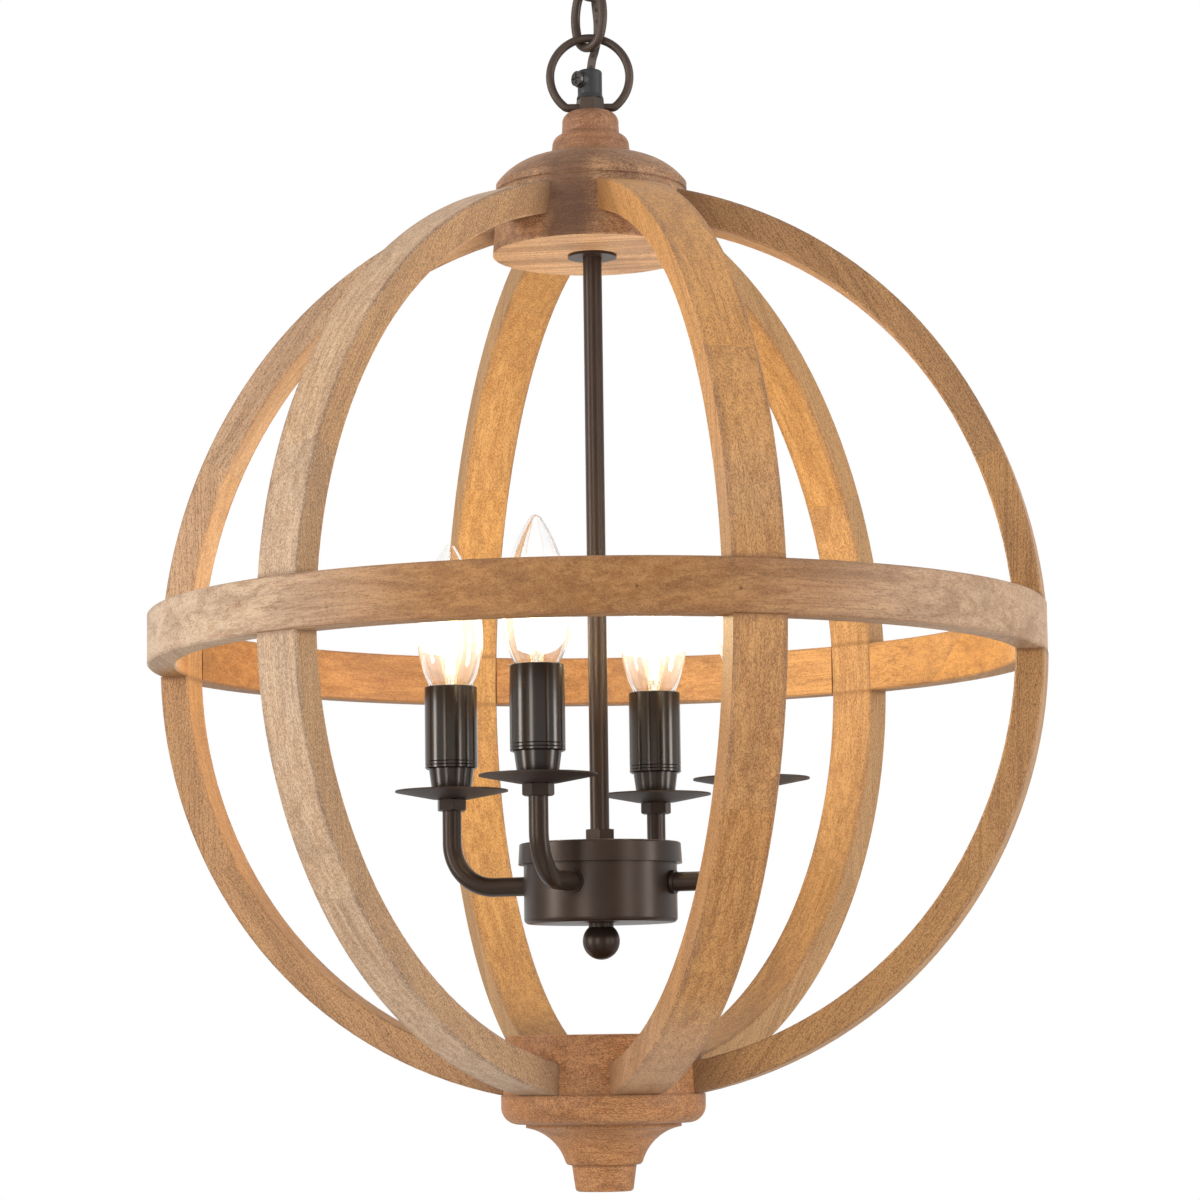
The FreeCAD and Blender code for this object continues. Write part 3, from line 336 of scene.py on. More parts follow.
def makeBentStock():
    # sawn lengths glued end to end round a bend in the XY plane of the vector given:
    # each length has straight grain along its own chord
    tree, given, made = newGroup("bentStock", [
        ("Vector", "Vector"), ("Normal", "Vector"), ("Length", "Float"), ("Shift", "Float"),
        ("Scarf", "Float"), ("Seed", "Float"), ("Skew", "Float"), ("Radius", "Float", 0.23),
        ("HalfWidth", "Float", 0.01375)],
        [("Along", "Float"), ("Across", "Float"), ("Depth", "Float"), ("Tone", "Float"),
         ("Joint", "Float"), ("Side", "Float"), ("Edge", "Float")])
    x, y, z = axes(tree, given.outputs["Vector"])
    angle = reckon(tree, "ARCTAN2", y, x)
    angle = reckon(tree, "ADD", angle, given.outputs["Shift"])
    slant = reckon(tree, "MULTIPLY", z, given.outputs["Scarf"])
    place = reckon(tree, "DIVIDE", reckon(tree, "ADD", angle, slant), given.outputs["Length"])
    number = reckon(tree, "FLOOR", place)
    middle = reckon(tree, "MULTIPLY", reckon(tree, "ADD", number, 0.5), given.outputs["Length"])
    middle = reckon(tree, "SUBTRACT", middle, given.outputs["Shift"])
    middle = reckon(tree, "MULTIPLY", middle, reckon(tree, "SUBTRACT", 1.0, given.outputs["Skew"]))
    cosine = reckon(tree, "COSINE", middle)
    sine = reckon(tree, "SINE", middle)
    along = reckon(tree, "SUBTRACT", reckon(tree, "MULTIPLY", y, cosine),
                   reckon(tree, "MULTIPLY", x, sine))
    across = reckon(tree, "ADD", reckon(tree, "MULTIPLY", x, cosine),
                    reckon(tree, "MULTIPLY", y, sine))
    offset = reckon(tree, "ADD", reckon(tree, "MULTIPLY", number, woodSizes["lengthShift"]),
                    given.outputs["Seed"])
    wire(tree, reckon(tree, "ADD", along, offset), made.inputs["Along"])
    wire(tree, across, made.inputs["Across"])
    wire(tree, z, made.inputs["Depth"])
    chance = tree.nodes.new("ShaderNodeTexWhiteNoise")
    chance.noise_dimensions = "1D"
    wire(tree, offset, chance.inputs["W"])
    wire(tree, chance.outputs["Value"], made.inputs["Tone"])
    share = reckon(tree, "SUBTRACT", place, number)
    nearest = reckon(tree, "MINIMUM", share, reckon(tree, "SUBTRACT", 1.0, share))
    gap = reckon(tree, "MULTIPLY", reckon(tree, "MULTIPLY", nearest, given.outputs["Length"]),
                 given.outputs["Radius"])
    wire(tree, between(tree, gap, *woodSizes["jointWidth"], 1, 0), made.inputs["Joint"])
    facing = reckon(tree, "ABSOLUTE", axes(tree, given.outputs["Normal"])[2])
    side = between(tree, facing, *woodSizes["sideFacing"])
    wire(tree, side, made.inputs["Side"])
    inset = reckon(tree, "SUBTRACT", given.outputs["HalfWidth"], reckon(tree, "ABSOLUTE", z))
    edge = between(tree, inset, 0.0, woodSizes["arrisWidth"], 1, 0)
    wire(tree, reckon(tree, "MULTIPLY", edge, reckon(tree, "SUBTRACT", 1.0, side)),
         made.inputs["Edge"])
    return tree


def makeWoodFigure():
    # waxed, stained hardwood: broad bands, long streaks, fine dark lines, close mottle and pores
    tree, given, made = newGroup("woodFigure", [
        ("Along", "Float"), ("Across", "Float"), ("Depth", "Float"), ("Tone", "Float", 0.5),
        ("Joint", "Float"), ("Side", "Float"), ("Edge", "Float"), ("Stain", "Float"),
        ("Pale", "Color"), ("Middle", "Color"), ("Dark", "Color"), ("SideColour", "Color"),
        ("Lines", "Float"), ("Mottle", "Float"), ("Bands", "Float"), ("Smoke", "Float"),
        ("SmokeColour", "Color", (0.22, 0.125, 0.082)), ("Bleach", "Float"),
        ("BleachColour", "Color"), ("Grime", "Float")],
        [("Colour", "Color"), ("Roughness", "Float"), ("Height", "Float")])
    along, across, depth = (given.outputs[label] for label in ("Along", "Across", "Depth"))

    def marks(name):
        length, width, *kind = woodSizes[name]
        stretched = vectorOf(tree, reckon(tree, "DIVIDE", along, length),
                             reckon(tree, "DIVIDE", across, width),
                             reckon(tree, "DIVIDE", depth, width))
        return noise(tree, stretched, 1, *kind)

    def ramp(value, name):
        return between(tree, value, *woodSizes[name])

    def darken(colour, share, strength, towards="Dark"):
        return blendColour(tree, reckon(tree, "MULTIPLY", share, strength), colour,
                           given.outputs[towards])

    streak, band, line, mottle, pore, tick, patch = (
        marks(name) for name in ("streak", "band", "line", "mottle", "pore", "tick", "patch"))
    colour = blendColour(tree, ramp(streak, "streakShows"), given.outputs["Middle"],
                         given.outputs["Pale"])
    colour = darken(colour, given.outputs["Side"], ramp(streak, "sideOverStreaks"), "SideColour")
    # mixes in the tints, painted sheen and painted light from below that a finish gives
    colour = darken(colour, given.outputs["Bleach"], ramp(streak, "tintAndPaintedLightOverStreaks"),
                    "BleachColour")
    colour = darken(colour, ramp(band, "bandShows"), given.outputs["Bands"])
    thin = reckon(tree, "MULTIPLY", ramp(line, "lineShows"), ramp(patch, "linesOverPatches"))
    colour = darken(colour, thin, given.outputs["Lines"])
    ticks = reckon(tree, "ADD",
                   reckon(tree, "MULTIPLY", given.outputs["Lines"], woodSizes["tickPerLine"]),
                   reckon(tree, "MULTIPLY", given.outputs["Side"], woodSizes["tickOnSide"]))
    colour = darken(colour, ramp(tick, "tickShows"), ticks)
    smoke = reckon(tree, "MULTIPLY", given.outputs["Edge"], ramp(patch, "smokeOverPatches"))
    colour = darken(colour, smoke, given.outputs["Smoke"], "SmokeColour")
    colour = darken(colour, ramp(mottle, "mottleDarkens"), given.outputs["Mottle"])
    colour = darken(colour, ramp(mottle, "mottlePales"), given.outputs["Mottle"], "Pale")
    fleck = ramp(pore, "poreShows")
    colour = darken(colour, fleck, reckon(tree, "MULTIPLY", given.outputs["Mottle"],
                                          woodSizes["poreStrength"]))
    shade = tree.nodes.new("ShaderNodeHueSaturation")
    wire(tree, ramp(given.outputs["Tone"], "toneValue"), shade.inputs["Value"])
    wire(tree, ramp(given.outputs["Tone"], "toneSaturation"), shade.inputs["Saturation"])
    wire(tree, colour, shade.inputs["Color"])
    colour = shade.outputs["Color"]
    # board stain, glue joints, then painted shade together with lathe lines and nail marks, each
    # darkening the wood
    for label in ("Stain", "Joint", "Grime"):
        colour = darken(colour, given.outputs[label], woodSizes[label.lower() + "Strength"])
    wire(tree, colour, made.inputs["Colour"])
    wire(tree, reckon(tree, "ADD", ramp(streak, "roughness"),
                      reckon(tree, "MULTIPLY", fleck, woodSizes["poreRoughness"])),
         made.inputs["Roughness"])
    height = reckon(tree, "ADD", reckon(tree, "MULTIPLY", streak, woodSizes["streakHeight"]),
                    reckon(tree, "MULTIPLY", mottle, woodSizes["mottleHeight"]))
    height = reckon(tree, "SUBTRACT", height,
                    reckon(tree, "MULTIPLY", fleck, woodSizes["poreDepth"]))
    height = reckon(tree, "SUBTRACT", height,
                    reckon(tree, "MULTIPLY", given.outputs["Joint"], woodSizes["jointDepth"]))
    wire(tree, height, made.inputs["Height"])
    return tree


bentStock = makeBentStock()
woodFigure = makeWoodFigure()

ribs = {
    "firstAngle": -70.9,
    "arcLevel": -0.4725,  # of the bend's axis
    # paler towards an end of a rib: share, where it starts and is full, and its colour
    "lifts": {1: [(0.60, -0.45, -0.38, (0.82, 0.42, 0.145)),
                  # the first rib's lower lift is a painted sheen, paler and greyer above the bottom
                  # hub
                  (0.62, -0.650, -0.685, (0.60, 0.40, 0.275))],
              5: [(0.70, -0.455, -0.440, (0.70, 0.485, 0.32))]},
    "length": 0.98,  # of a sawn piece, in radians of the bend
    "skew": 0.40,
    # painted shade beside the ring and at the hubs: where it starts, is full and ends
    "ringPaintedShade": (0.0120, 0.0134), "grime": (0.0136, 0.0165), "rootPaintedShade": (0.0500, 0.0800),
    "lines": 0.38, "mottle": 0.54, "bands": 0.32, "smoke": 0.65,
    "pieces": [
        # shift and seed of the stock, then its pale, middle, dark and side colours
        (0.42, 1.3, (0.640, 0.330, 0.118), (0.445, 0.200, 0.064), (0.175, 0.074, 0.028),
         (0.480, 0.252, 0.100)),
        (0.55, 4.1, (0.580, 0.330, 0.140), (0.410, 0.206, 0.080), (0.150, 0.066, 0.028),
         (0.490, 0.262, 0.104)),
        (0.52, 7.7, (0.550, 0.312, 0.118), (0.400, 0.200, 0.068), (0.180, 0.080, 0.028),
         (0.500, 0.290, 0.122)),
        (0.44, 12.9, (0.560, 0.320, 0.118), (0.410, 0.206, 0.068), (0.185, 0.084, 0.030),
         (0.490, 0.285, 0.118)),
        (0.50, 17.2, (0.580, 0.335, 0.150), (0.410, 0.208, 0.086), (0.150, 0.068, 0.030),
         (0.450, 0.255, 0.130)),
        # the sixth rib, at the front left, is paler: partly paler wood, partly a painted sheen
        (0.60, 23.6, (0.720, 0.505, 0.325), (0.545, 0.335, 0.185), (0.205, 0.112, 0.062),
         (0.530, 0.295, 0.122)),
    ],
}
ring = {
    "angle": 92.0,
    "length": math.pi / 3,
    "scarf": 6.0,
    "seed": 5.2,
    # a painted sheen, paler, at the front's two ends and golden wood at the back: from, to and the
    # shares there
    "tintAndPaintedLight": (-0.205, -0.06, 0.95, 0), "paintedSheenRight": (0.05, 0.20, 0, 0.58),
    "golden": (-0.02, 0.13, 0, 0.60), "goldenColour": (0.70, 0.385, 0.130),
    "backFrom": (-0.03, 0.04),
    # nail holes in the outer face, then where the dark round each starts to fade, ends, and its
    # share there
    "nails": [(0.0189, -0.2342, -0.4661), (0.0675, -0.2251, -0.4666)],
    "nailReach": (0.0004, 0.0012, 1.6, 0),
    "pale": (0.470, 0.236, 0.090), "middle": (0.325, 0.143, 0.048), "dark": (0.130, 0.054, 0.021),
    "side": (0.460, 0.245, 0.100),
    "lines": 0.34, "mottle": 0.34, "bands": 0.36, "smoke": 0.30,
}


def dressWood(tree, shader, figure):
    dress(tree, shader, figure, woodSizes["specular"], woodSizes["bumpStrength"],
          woodSizes["bumpDistance"])


def nailHoles(tree, vector, places, reach):
    marks = 0.0
    for place in places:
        node = tree.nodes.new("ShaderNodeVectorMath")
        node.operation = "DISTANCE"
        wire(tree, vector, node.inputs[0])
        node.inputs[1].default_value = place
        marks = reckon(tree, "MAXIMUM", between(tree, node.outputs["Value"], *reach), marks)
    return marks


def bentWood(name, sizes, colours, rotation, location, shift, seed, lifts=()):
    material, tree, shader = newFinish(name)
    coords = tree.nodes.new("ShaderNodeTexCoord")
    stock = useGroup(tree, bentStock,
                     Vector=turned(tree, coords.outputs["Object"], rotation, location),
                     Normal=turned(tree, coords.outputs["Normal"], rotation, kind="VECTOR"),
                     Length=sizes["length"], Shift=shift, Scarf=sizes.get("scarf", 0.0), Seed=seed,
                     Skew=sizes.get("skew", 0.0))
    x, y, z = axes(tree, coords.outputs["Object"])
    grime, tintAndPaintedLight = 0.0, 0.0
    # painted shade on a rib where it passes the ring and where it meets the hubs
    if "grime" in sizes:
        level = reckon(tree, "ABSOLUTE", reckon(tree, "SUBTRACT", z, ringLevel))
        grime = reckon(tree, "MULTIPLY", between(tree, level, *sizes["ringPaintedShade"]),
                       between(tree, level, *sizes["grime"], 1, 0))
        grime = reckon(tree, "ADD", grime,
                       between(tree, reachOf(tree, x, y), *sizes["rootPaintedShade"], 1, 0))
    if "nails" in sizes:
        grime = nailHoles(tree, coords.outputs["Object"], sizes["nails"], sizes["nailReach"])
    tintAndPaintedLightColour = woodSizes["tintAndPaintedLightColour"]
    # paler towards the rib ends, in part a painted sheen
    for share, start, end, colour in lifts:
        reached = between(tree, z, start, end)
        tintAndPaintedLight = reckon(tree, "MAXIMUM", reckon(tree, "MULTIPLY", reached, share), tintAndPaintedLight)
        tintAndPaintedLightColour = blendColour(tree, reached, tintAndPaintedLightColour, colour)
    # painted sheen at the ring's front ends, and golden wood at its back
    if "tintAndPaintedLight" in sizes:
        back = between(tree, y, *sizes["backFrom"])
        paintedSheen = reckon(tree, "ADD", between(tree, x, *sizes["tintAndPaintedLight"]),
                       between(tree, x, *sizes["paintedSheenRight"]))
        paintedSheen = reckon(tree, "MULTIPLY", paintedSheen, reckon(tree, "SUBTRACT", 1.0, back))
        golden = reckon(tree, "MULTIPLY", back, between(tree, x, *sizes["golden"]))
        tintAndPaintedLight = reckon(tree, "ADD", paintedSheen, golden)
        tintAndPaintedLightColour = blendColour(tree, back, tintAndPaintedLightColour, sizes["goldenColour"])
    pale, middle, dark, side = colours
    figure = useGroup(tree, woodFigure,
                      **{label: stock[label] for label in
                         ("Along", "Across", "Depth", "Tone", "Joint", "Side", "Edge")},
                      Pale=pale, Middle=middle, Dark=dark, SideColour=side, Lines=sizes["lines"],
                      Mottle=sizes["mottle"], Bands=sizes["bands"], Smoke=sizes["smoke"],
                      Grime=grime, Bleach=tintAndPaintedLight, BleachColour=tintAndPaintedLightColour)
    dressWood(tree, shader, figure)
    return material


def finishRibs():
    for number, (shift, seed, *colours) in enumerate(ribs["pieces"]):
        angle = math.radians(ribs["firstAngle"] + number * 360 / len(ribs["pieces"]))
        lay = Matrix.Rotation(-math.pi / 2, 3, "X") @ Matrix.Rotation(-angle, 3, "Z")
        paint("rib_%d" % (number + 1),
              bentWood("ribWood%d" % (number + 1), ribs, colours, lay.to_euler("XYZ"),
                       (0, -ribs["arcLevel"], 0), shift, seed, ribs["lifts"].get(number + 1, ())))


def finishRing():
    rotation = (0, 0, math.radians(ring["angle"]))
    colours = [ring[label] for label in ("pale", "middle", "dark", "side")]
    paint("equator_ring",
          bentWood("ringWood", ring, colours, rotation, (0, 0, -ringLevel), 0.0, ring["seed"]))


hubs = {
    # finish, grain angle, seed, colours, figure, levels of the creases over the ring's middle,
    # and middle, half width and softness of the dark board across the front of a turned block,
    # and the paler colour painted on the downward faces as painted light from below
    "top_hub": {"finish": "topHubWood", "angle": 8, "seed": 3.3,
                "pale": (0.560, 0.320, 0.165), "middle": (0.350, 0.172, 0.080),
                "dark": (0.115, 0.052, 0.030), "lines": 0.55, "mottle": 0.50, "bands": 0.50,
                "creases": (0.2396, 0.2574), "stain": (-0.0125, 0.0120, 0.006),
                "under": (0.860, 0.590, 0.390)},
    "top_hub_knob": {"finish": "topHubKnobWood", "angle": 30, "seed": 8.1,
                     "pale": (0.480, 0.240, 0.118), "middle": (0.330, 0.148, 0.070),
                     "dark": (0.120, 0.050, 0.026), "lines": 0.40, "mottle": 0.50, "bands": 0.30,
                     "creases": (0.2578, 0.2650, 0.2712)},
    "bottom_hub": {"finish": "bottomHubWood", "angle": -14, "seed": 11.7,
                   "pale": (0.570, 0.270, 0.105), "middle": (0.410, 0.170, 0.058),
                   "dark": (0.140, 0.056, 0.022), "lines": 0.50, "mottle": 0.62, "bands": 0.45,
                   "creases": (-0.2370, -0.2520, -0.2733)},
}
turning = {
    "crease": (0.0003, 0.0014, 0.55, 0),  # painted shade in the creases: half width, where it ends, and how dark
    "lineWidth": 0.0009, "lineShows": (0.50, 0.66, 0, 0.30),
    # how squarely a face looks down to take the painted light from below, and its share
    "underFacing": (-0.97, -0.90, 0.8, 0),
    "boardWobble": 0.010, "boardWobbleScale": 60,
    "boardFront": (-0.02, -0.035), "boardWall": (0.95, 0.6),
}


def makeBoardStain():
    # a board of darker heartwood showing on the front wall of a turned block
    tree, given, made = newGroup("boardStain", [
        ("Vector", "Vector"), ("Normal", "Vector"), ("Middle", "Float"), ("Half", "Float"),
        ("Soft", "Float")], [("Mask", "Float")])
    x, y = axes(tree, given.outputs["Vector"])[:2]
    wave = noise(tree, given.outputs["Vector"], turning["boardWobbleScale"], 3)
    wobble = reckon(tree, "MULTIPLY", reckon(tree, "SUBTRACT", wave, 0.5), turning["boardWobble"])
    off = reckon(tree, "ABSOLUTE", reckon(tree, "SUBTRACT", reckon(tree, "ADD", x, wobble),
                                          given.outputs["Middle"]))
    past = reckon(tree, "DIVIDE", reckon(tree, "SUBTRACT", off, given.outputs["Half"]),
                  given.outputs["Soft"])
    inside = between(tree, past, -1, 1, 1, 0)
    front = between(tree, y, *turning["boardFront"])
    facing = reckon(tree, "ABSOLUTE", axes(tree, given.outputs["Normal"])[2])
    wall = between(tree, facing, *turning["boardWall"])
    wire(tree, reckon(tree, "MULTIPLY", inside, reckon(tree, "MULTIPLY", front, wall)),
         made.inputs["Mask"])
    return tree


def latheLinesAndCreaseShade(tree, vector, creases):
    # fine lines left by turning, and painted shade in the creases between the steps
    x, y, z = axes(tree, vector)
    level = reckon(tree, "SUBTRACT", z, ringLevel)
    width = turning["lineWidth"]
    rings = noise(tree, vectorOf(tree, reckon(tree, "DIVIDE", reachOf(tree, x, y), width), 0.0,
                                 reckon(tree, "DIVIDE", level, width)), 1, 2, 0.6)
    marks = between(tree, rings, *turning["lineShows"])
    # painted shade along each crease
    for height in creases:
        off = reckon(tree, "ABSOLUTE", reckon(tree, "SUBTRACT", level, height))
        marks = reckon(tree, "MAXIMUM", marks, between(tree, off, *turning["crease"]))
    return marks


def finishHubs():
    boardStain = makeBoardStain()
    for name, sizes in hubs.items():
        material, tree, shader = newFinish(sizes["finish"])
        coords = tree.nodes.new("ShaderNodeTexCoord")
        rotation = (0, 0, math.radians(sizes["angle"]))
        x, y, z = axes(tree, turned(tree, coords.outputs["Object"], rotation,
                                    (sizes["seed"], 0, 0)))
        values = {"Along": x, "Across": y, "Depth": z, "Pale": sizes["pale"],
                  "Middle": sizes["middle"], "Dark": sizes["dark"], "SideColour": sizes["pale"],
                  "Lines": sizes["lines"], "Mottle": sizes["mottle"], "Bands": sizes["bands"]}
        if "stain" in sizes:
            middle, half, soft = sizes["stain"]
            values["Stain"] = useGroup(tree, boardStain, Vector=coords.outputs["Object"],
                                       Normal=coords.outputs["Normal"], Middle=middle, Half=half,
                                       Soft=soft)["Mask"]
        # painted light from below: a paler colour on the faces that look down
        if "under" in sizes:
            facing = axes(tree, coords.outputs["Normal"])[2]
            values["Bleach"] = between(tree, facing, *turning["underFacing"])
            values["BleachColour"] = sizes["under"]
        # lathe lines, with painted shade in the creases
        values["Grime"] = latheLinesAndCreaseShade(tree, coords.outputs["Object"], sizes["creases"])
        dressWood(tree, shader, useGroup(tree, woodFigure, **values))
        paint(name, material)


finishRibs()
finishRing()
finishHubs()
print("wood finished")


# metal, sleeves and small parts

coatSizes = {
    # scale, detail and roughness of each noise
    "cloud": (55, 4, 0.6), "peel": (1400, 2, 0.5), "speck": (520, 3, 0.7),
    "rubbedShows": (0.70, 0.78),
    "valueChange": 2.0, "roughnessChange": 0.5,
    "peelDepth": 0.0002,
}


def makeCoated():
    # sprayed coat on metal: soft mottling, orange peel and a few rubbed specks
    tree, given, made = newGroup("sprayedCoat", [
        ("Vector", "Vector"), ("Colour", "Color"), ("Rubbed", "Color"), ("Mottle", "Float"),
        ("Wear", "Float"), ("Roughness", "Float")],
        [("Colour", "Color"), ("Roughness", "Float"), ("Height", "Float")])
    vector = given.outputs["Vector"]
    cloud, peel, speck = (noise(tree, vector, *coatSizes[name])
                          for name in ("cloud", "peel", "speck"))
    change = reckon(tree, "MULTIPLY", reckon(tree, "SUBTRACT", cloud, 0.5),
                    given.outputs["Mottle"])
    tint = tree.nodes.new("ShaderNodeHueSaturation")
    wire(tree, given.outputs["Colour"], tint.inputs["Color"])
    wire(tree, reckon(tree, "ADD", 1.0,
                      reckon(tree, "MULTIPLY", change, coatSizes["valueChange"])),
         tint.inputs["Value"])
    share = reckon(tree, "MULTIPLY", between(tree, speck, *coatSizes["rubbedShows"]),
                   given.outputs["Wear"])
    wire(tree, blendColour(tree, share, tint.outputs["Color"], given.outputs["Rubbed"]),
         made.inputs["Colour"])
    wire(tree, reckon(tree, "ADD", given.outputs["Roughness"],
                      reckon(tree, "MULTIPLY", change, coatSizes["roughnessChange"])),
         made.inputs["Roughness"])
    wire(tree, peel, made.inputs["Height"])
    return tree


sprayedCoat = makeCoated()

coats = {
    # colour, rubbed colour, mottle, wear, roughness, metallic, specular, its tint, peel, nodes
    "bronzeCoat": ((0.0210, 0.0128, 0.0092), (0.16, 0.10, 0.065), 0.35, 0.25, 0.34, 0.0, 0.34,
                   (1.0, 0.80, 0.68), 0.12,
                   ["hub_flange", "centre_tube", "drum_nuts", "drum_washer", "drum_lid",
                    "drum_body", "ball_finial", "arm_nuts", "arm_1", "arm_2", "arm_3", "arm_4"]),
    "dishCoat": ((0.024, 0.0150, 0.0115), (0.14, 0.10, 0.07), 0.4, 0.2, 0.52, 0.0, 0.34,
                 (1.0, 0.85, 0.75), 0.2, ["drip_dish_%d" % n for n in (1, 2, 3, 4)]),
    "chainCoat": ((0.050, 0.033, 0.024), (0.30, 0.21, 0.14), 0.5, 0.5, 0.42, 0.2, 0.45,
                  (1.0, 0.88, 0.80), 0.2,
                  ["chain_link_top", "chain_link_middle", "chain_link_bottom", "hub_loop",
                   "canopy_loop"]),
    "canopyCoat": ((0.026, 0.017, 0.013), (0.2, 0.13, 0.09), 0.35, 0.2, 0.38, 0.0, 0.40,
                   (1.0, 0.85, 0.75), 0.12, ["ceiling_canopy", "canopy_screws"]),
    "sleeveGloss": ((0.0100, 0.0078, 0.0066), (0.05, 0.04, 0.035), 0.3, 0.1, 0.17, 0.0, 0.52,
                    (1.0, 0.90, 0.82), 0.04, ["holder_sleeve_%d" % n for n in (1, 2, 3, 4)]),
    "coreGloss": ((0.012, 0.009, 0.0075), (0.06, 0.05, 0.04), 0.3, 0.15, 0.22, 0.0, 0.50,
                  (1.0, 0.90, 0.82), 0.05, ["holder_core_%d" % n for n in (1, 2, 3, 4)]),
    "gripPlastic": ((0.020, 0.019, 0.020), (0.07, 0.065, 0.06), 0.3, 0.3, 0.48, 0.0, 0.40,
                    (1.0, 1.0, 1.0), 0.3, ["cord_grip", "cord_gland"]),
    "gripScrewSteel": ((0.055, 0.050, 0.046), (0.3, 0.28, 0.25), 0.3, 0.5, 0.34, 0.7, 0.5,
                       (1.0, 1.0, 1.0), 0.1, ["cord_grip_screw"]),
    "strapSteel": ((0.42, 0.42, 0.41), (0.7, 0.7, 0.7), 0.3, 0.4, 0.35, 0.9, 0.5, (1.0, 1.0, 1.0),
                   0.1, ["ceiling_strap"]),
    "blockPlastic": ((0.74, 0.73, 0.69), (0.8, 0.8, 0.76), 0.1, 0.1, 0.45, 0.0, 0.5,
                     (1.0, 1.0, 1.0), 0.2, ["terminal_block"]),
    "wireSleeve": ((0.60, 0.60, 0.57), (0.7, 0.7, 0.67), 0.15, 0.1, 0.6, 0.0, 0.4,
                   (1.0, 1.0, 1.0), 0.2, ["wiring_harness"]),
    "capNickel": ((0.62, 0.56, 0.44), (0.75, 0.7, 0.6), 0.2, 0.3, 0.28, 1.0, 0.5, (1.0, 1.0, 1.0),
                  0.05, ["bulb_cap_%d" % n for n in (1, 2, 3, 4)]),
}


def finishCoats():
    for name, (colour, rubbed, mottle, wear, roughness, metallic, specular, tint, peel,
               covered) in coats.items():
        material, tree, shader = newFinish(name)
        coords = tree.nodes.new("ShaderNodeTexCoord")
        coat = useGroup(tree, sprayedCoat, Vector=coords.outputs["Object"], Colour=colour,
                        Rubbed=rubbed, Mottle=mottle, Wear=wear, Roughness=roughness)
        dress(tree, shader, coat, specular, peel, coatSizes["peelDepth"])
        shader.inputs["Metallic"].default_value = metallic
        shader.inputs["Specular Tint"].default_value = (*tint, 1)
        for node in covered:
            paint(node, material)


finishCoats()
print("metal and small parts finished")


# bulbs

bulbs = {
    "count": 4,
    "firstAngle": 158.7,
    "reach": 0.0842,
    # a painted glow on the glass round the lit strands: its level over the ring's middle, and how
    # far below and above that it fades out
    "glowLevel": 0.013,
    "glowBelow": 0.038,
    "glowAbove": 0.026,
    "glow": (1.0, 0.93, 0.80),
    "glowStrength": 0.22,
    "glassColour": (0.985, 0.985, 0.98),
    "glassIndex": 1.45,
    "smearScale": 120, "smear": (0.4, 0.8, 0.0, 0.05),  # roughness over a noise
    "lampColour": (1.0, 0.80, 0.46),
    "lampPower": 0.33,
    "lampRadius": 0.008,
}
filament = {
    # glass stem as radius and level over the ring's middle, then the lit strands round it
    "stem": [(0.0046, -0.0290), (0.0042, -0.0270), (0.0026, -0.0235), (0.0019, -0.0200),
             (0.0017, -0.0150), (0.0010, -0.0138)],
    "sides": 24,
    "strands": 4,
    "strandFoot": (0.0017, -0.0165),
    "strandTop": (0.0040, 0.0200),
    "strandRadius": 0.00085,
    "strandRound": 0.0004,
    "capLength": 0.0022,
    "capRadius": 0.00075,
    "postRadius": 0.00045,
    "spokeRadius": 0.0003,
    "topLevel": 0.0220,
    "beadRadius": 0.0011,
    "firstTurn": 45,
    "postOverlap": 0.001,
    "smoothBelow": 35,
    "hot": (1.0, 0.86, 0.58), "cool": (1.0, 0.74, 0.40), "unlit": (0.9, 0.7, 0.3),
    "litStrength": 1.6, "litRoughness": 0.4,
    "flickerScale": 420, "flicker": (0.3, 0.7),
    "stemColour": (0.97, 0.98, 0.97), "stemIndex": 1.5,
    "stemSmearScale": 300, "stemSmear": (0.3, 0.8, 0.02, 0.12),
    "wire": (0.55, 0.52, 0.47), "wireRubbed": (0.7, 0.68, 0.62),
    "wireMottle": 0.3, "wireWear": 0.3, "wireRoughness": 0.3,
}


def bulbPlace(number):
    angle = math.radians(bulbs["firstAngle"] + 90 * number)
    return bulbs["reach"] * math.cos(angle), bulbs["reach"] * math.sin(angle)


def makeGlassFinish():
    tree, given, made = newGroup("glassSmearAndGlow", [
        ("Vector", "Vector"), ("Level", "Float"), ("Glow", "Color")],
        [("Roughness", "Float"), ("Light", "Color")])
    smear = noise(tree, given.outputs["Vector"], bulbs["smearScale"], 3, 0.6)
    wire(tree, between(tree, smear, *bulbs["smear"]), made.inputs["Roughness"])
    # painted glow: emission on the glass at the strands' height, fading out below and above
    off = reckon(tree, "SUBTRACT", axes(tree, given.outputs["Vector"])[2], given.outputs["Level"])
    share = reckon(tree, "MULTIPLY", between(tree, off, -bulbs["glowBelow"], 0.0),
                   between(tree, off, bulbs["glowAbove"], 0.0))
    wire(tree, blendColour(tree, share, (0, 0, 0), given.outputs["Glow"]), made.inputs["Light"])
    material, surface, shader = newFinish("bulbGlass")
    coords = surface.nodes.new("ShaderNodeTexCoord")
    haze = useGroup(surface, tree, Vector=coords.outputs["Object"],
                    Level=ringLevel + bulbs["glowLevel"], Glow=bulbs["glow"])
    shader.inputs["Base Color"].default_value = (*bulbs["glassColour"], 1)
    shader.inputs["Transmission Weight"].default_value = 1
    shader.inputs["IOR"].default_value = bulbs["glassIndex"]
    wire(surface, haze["Roughness"], shader.inputs["Roughness"])
    wire(surface, haze["Light"], shader.inputs["Emission Color"])
    shader.inputs["Emission Strength"].default_value = bulbs["glowStrength"]
    return material


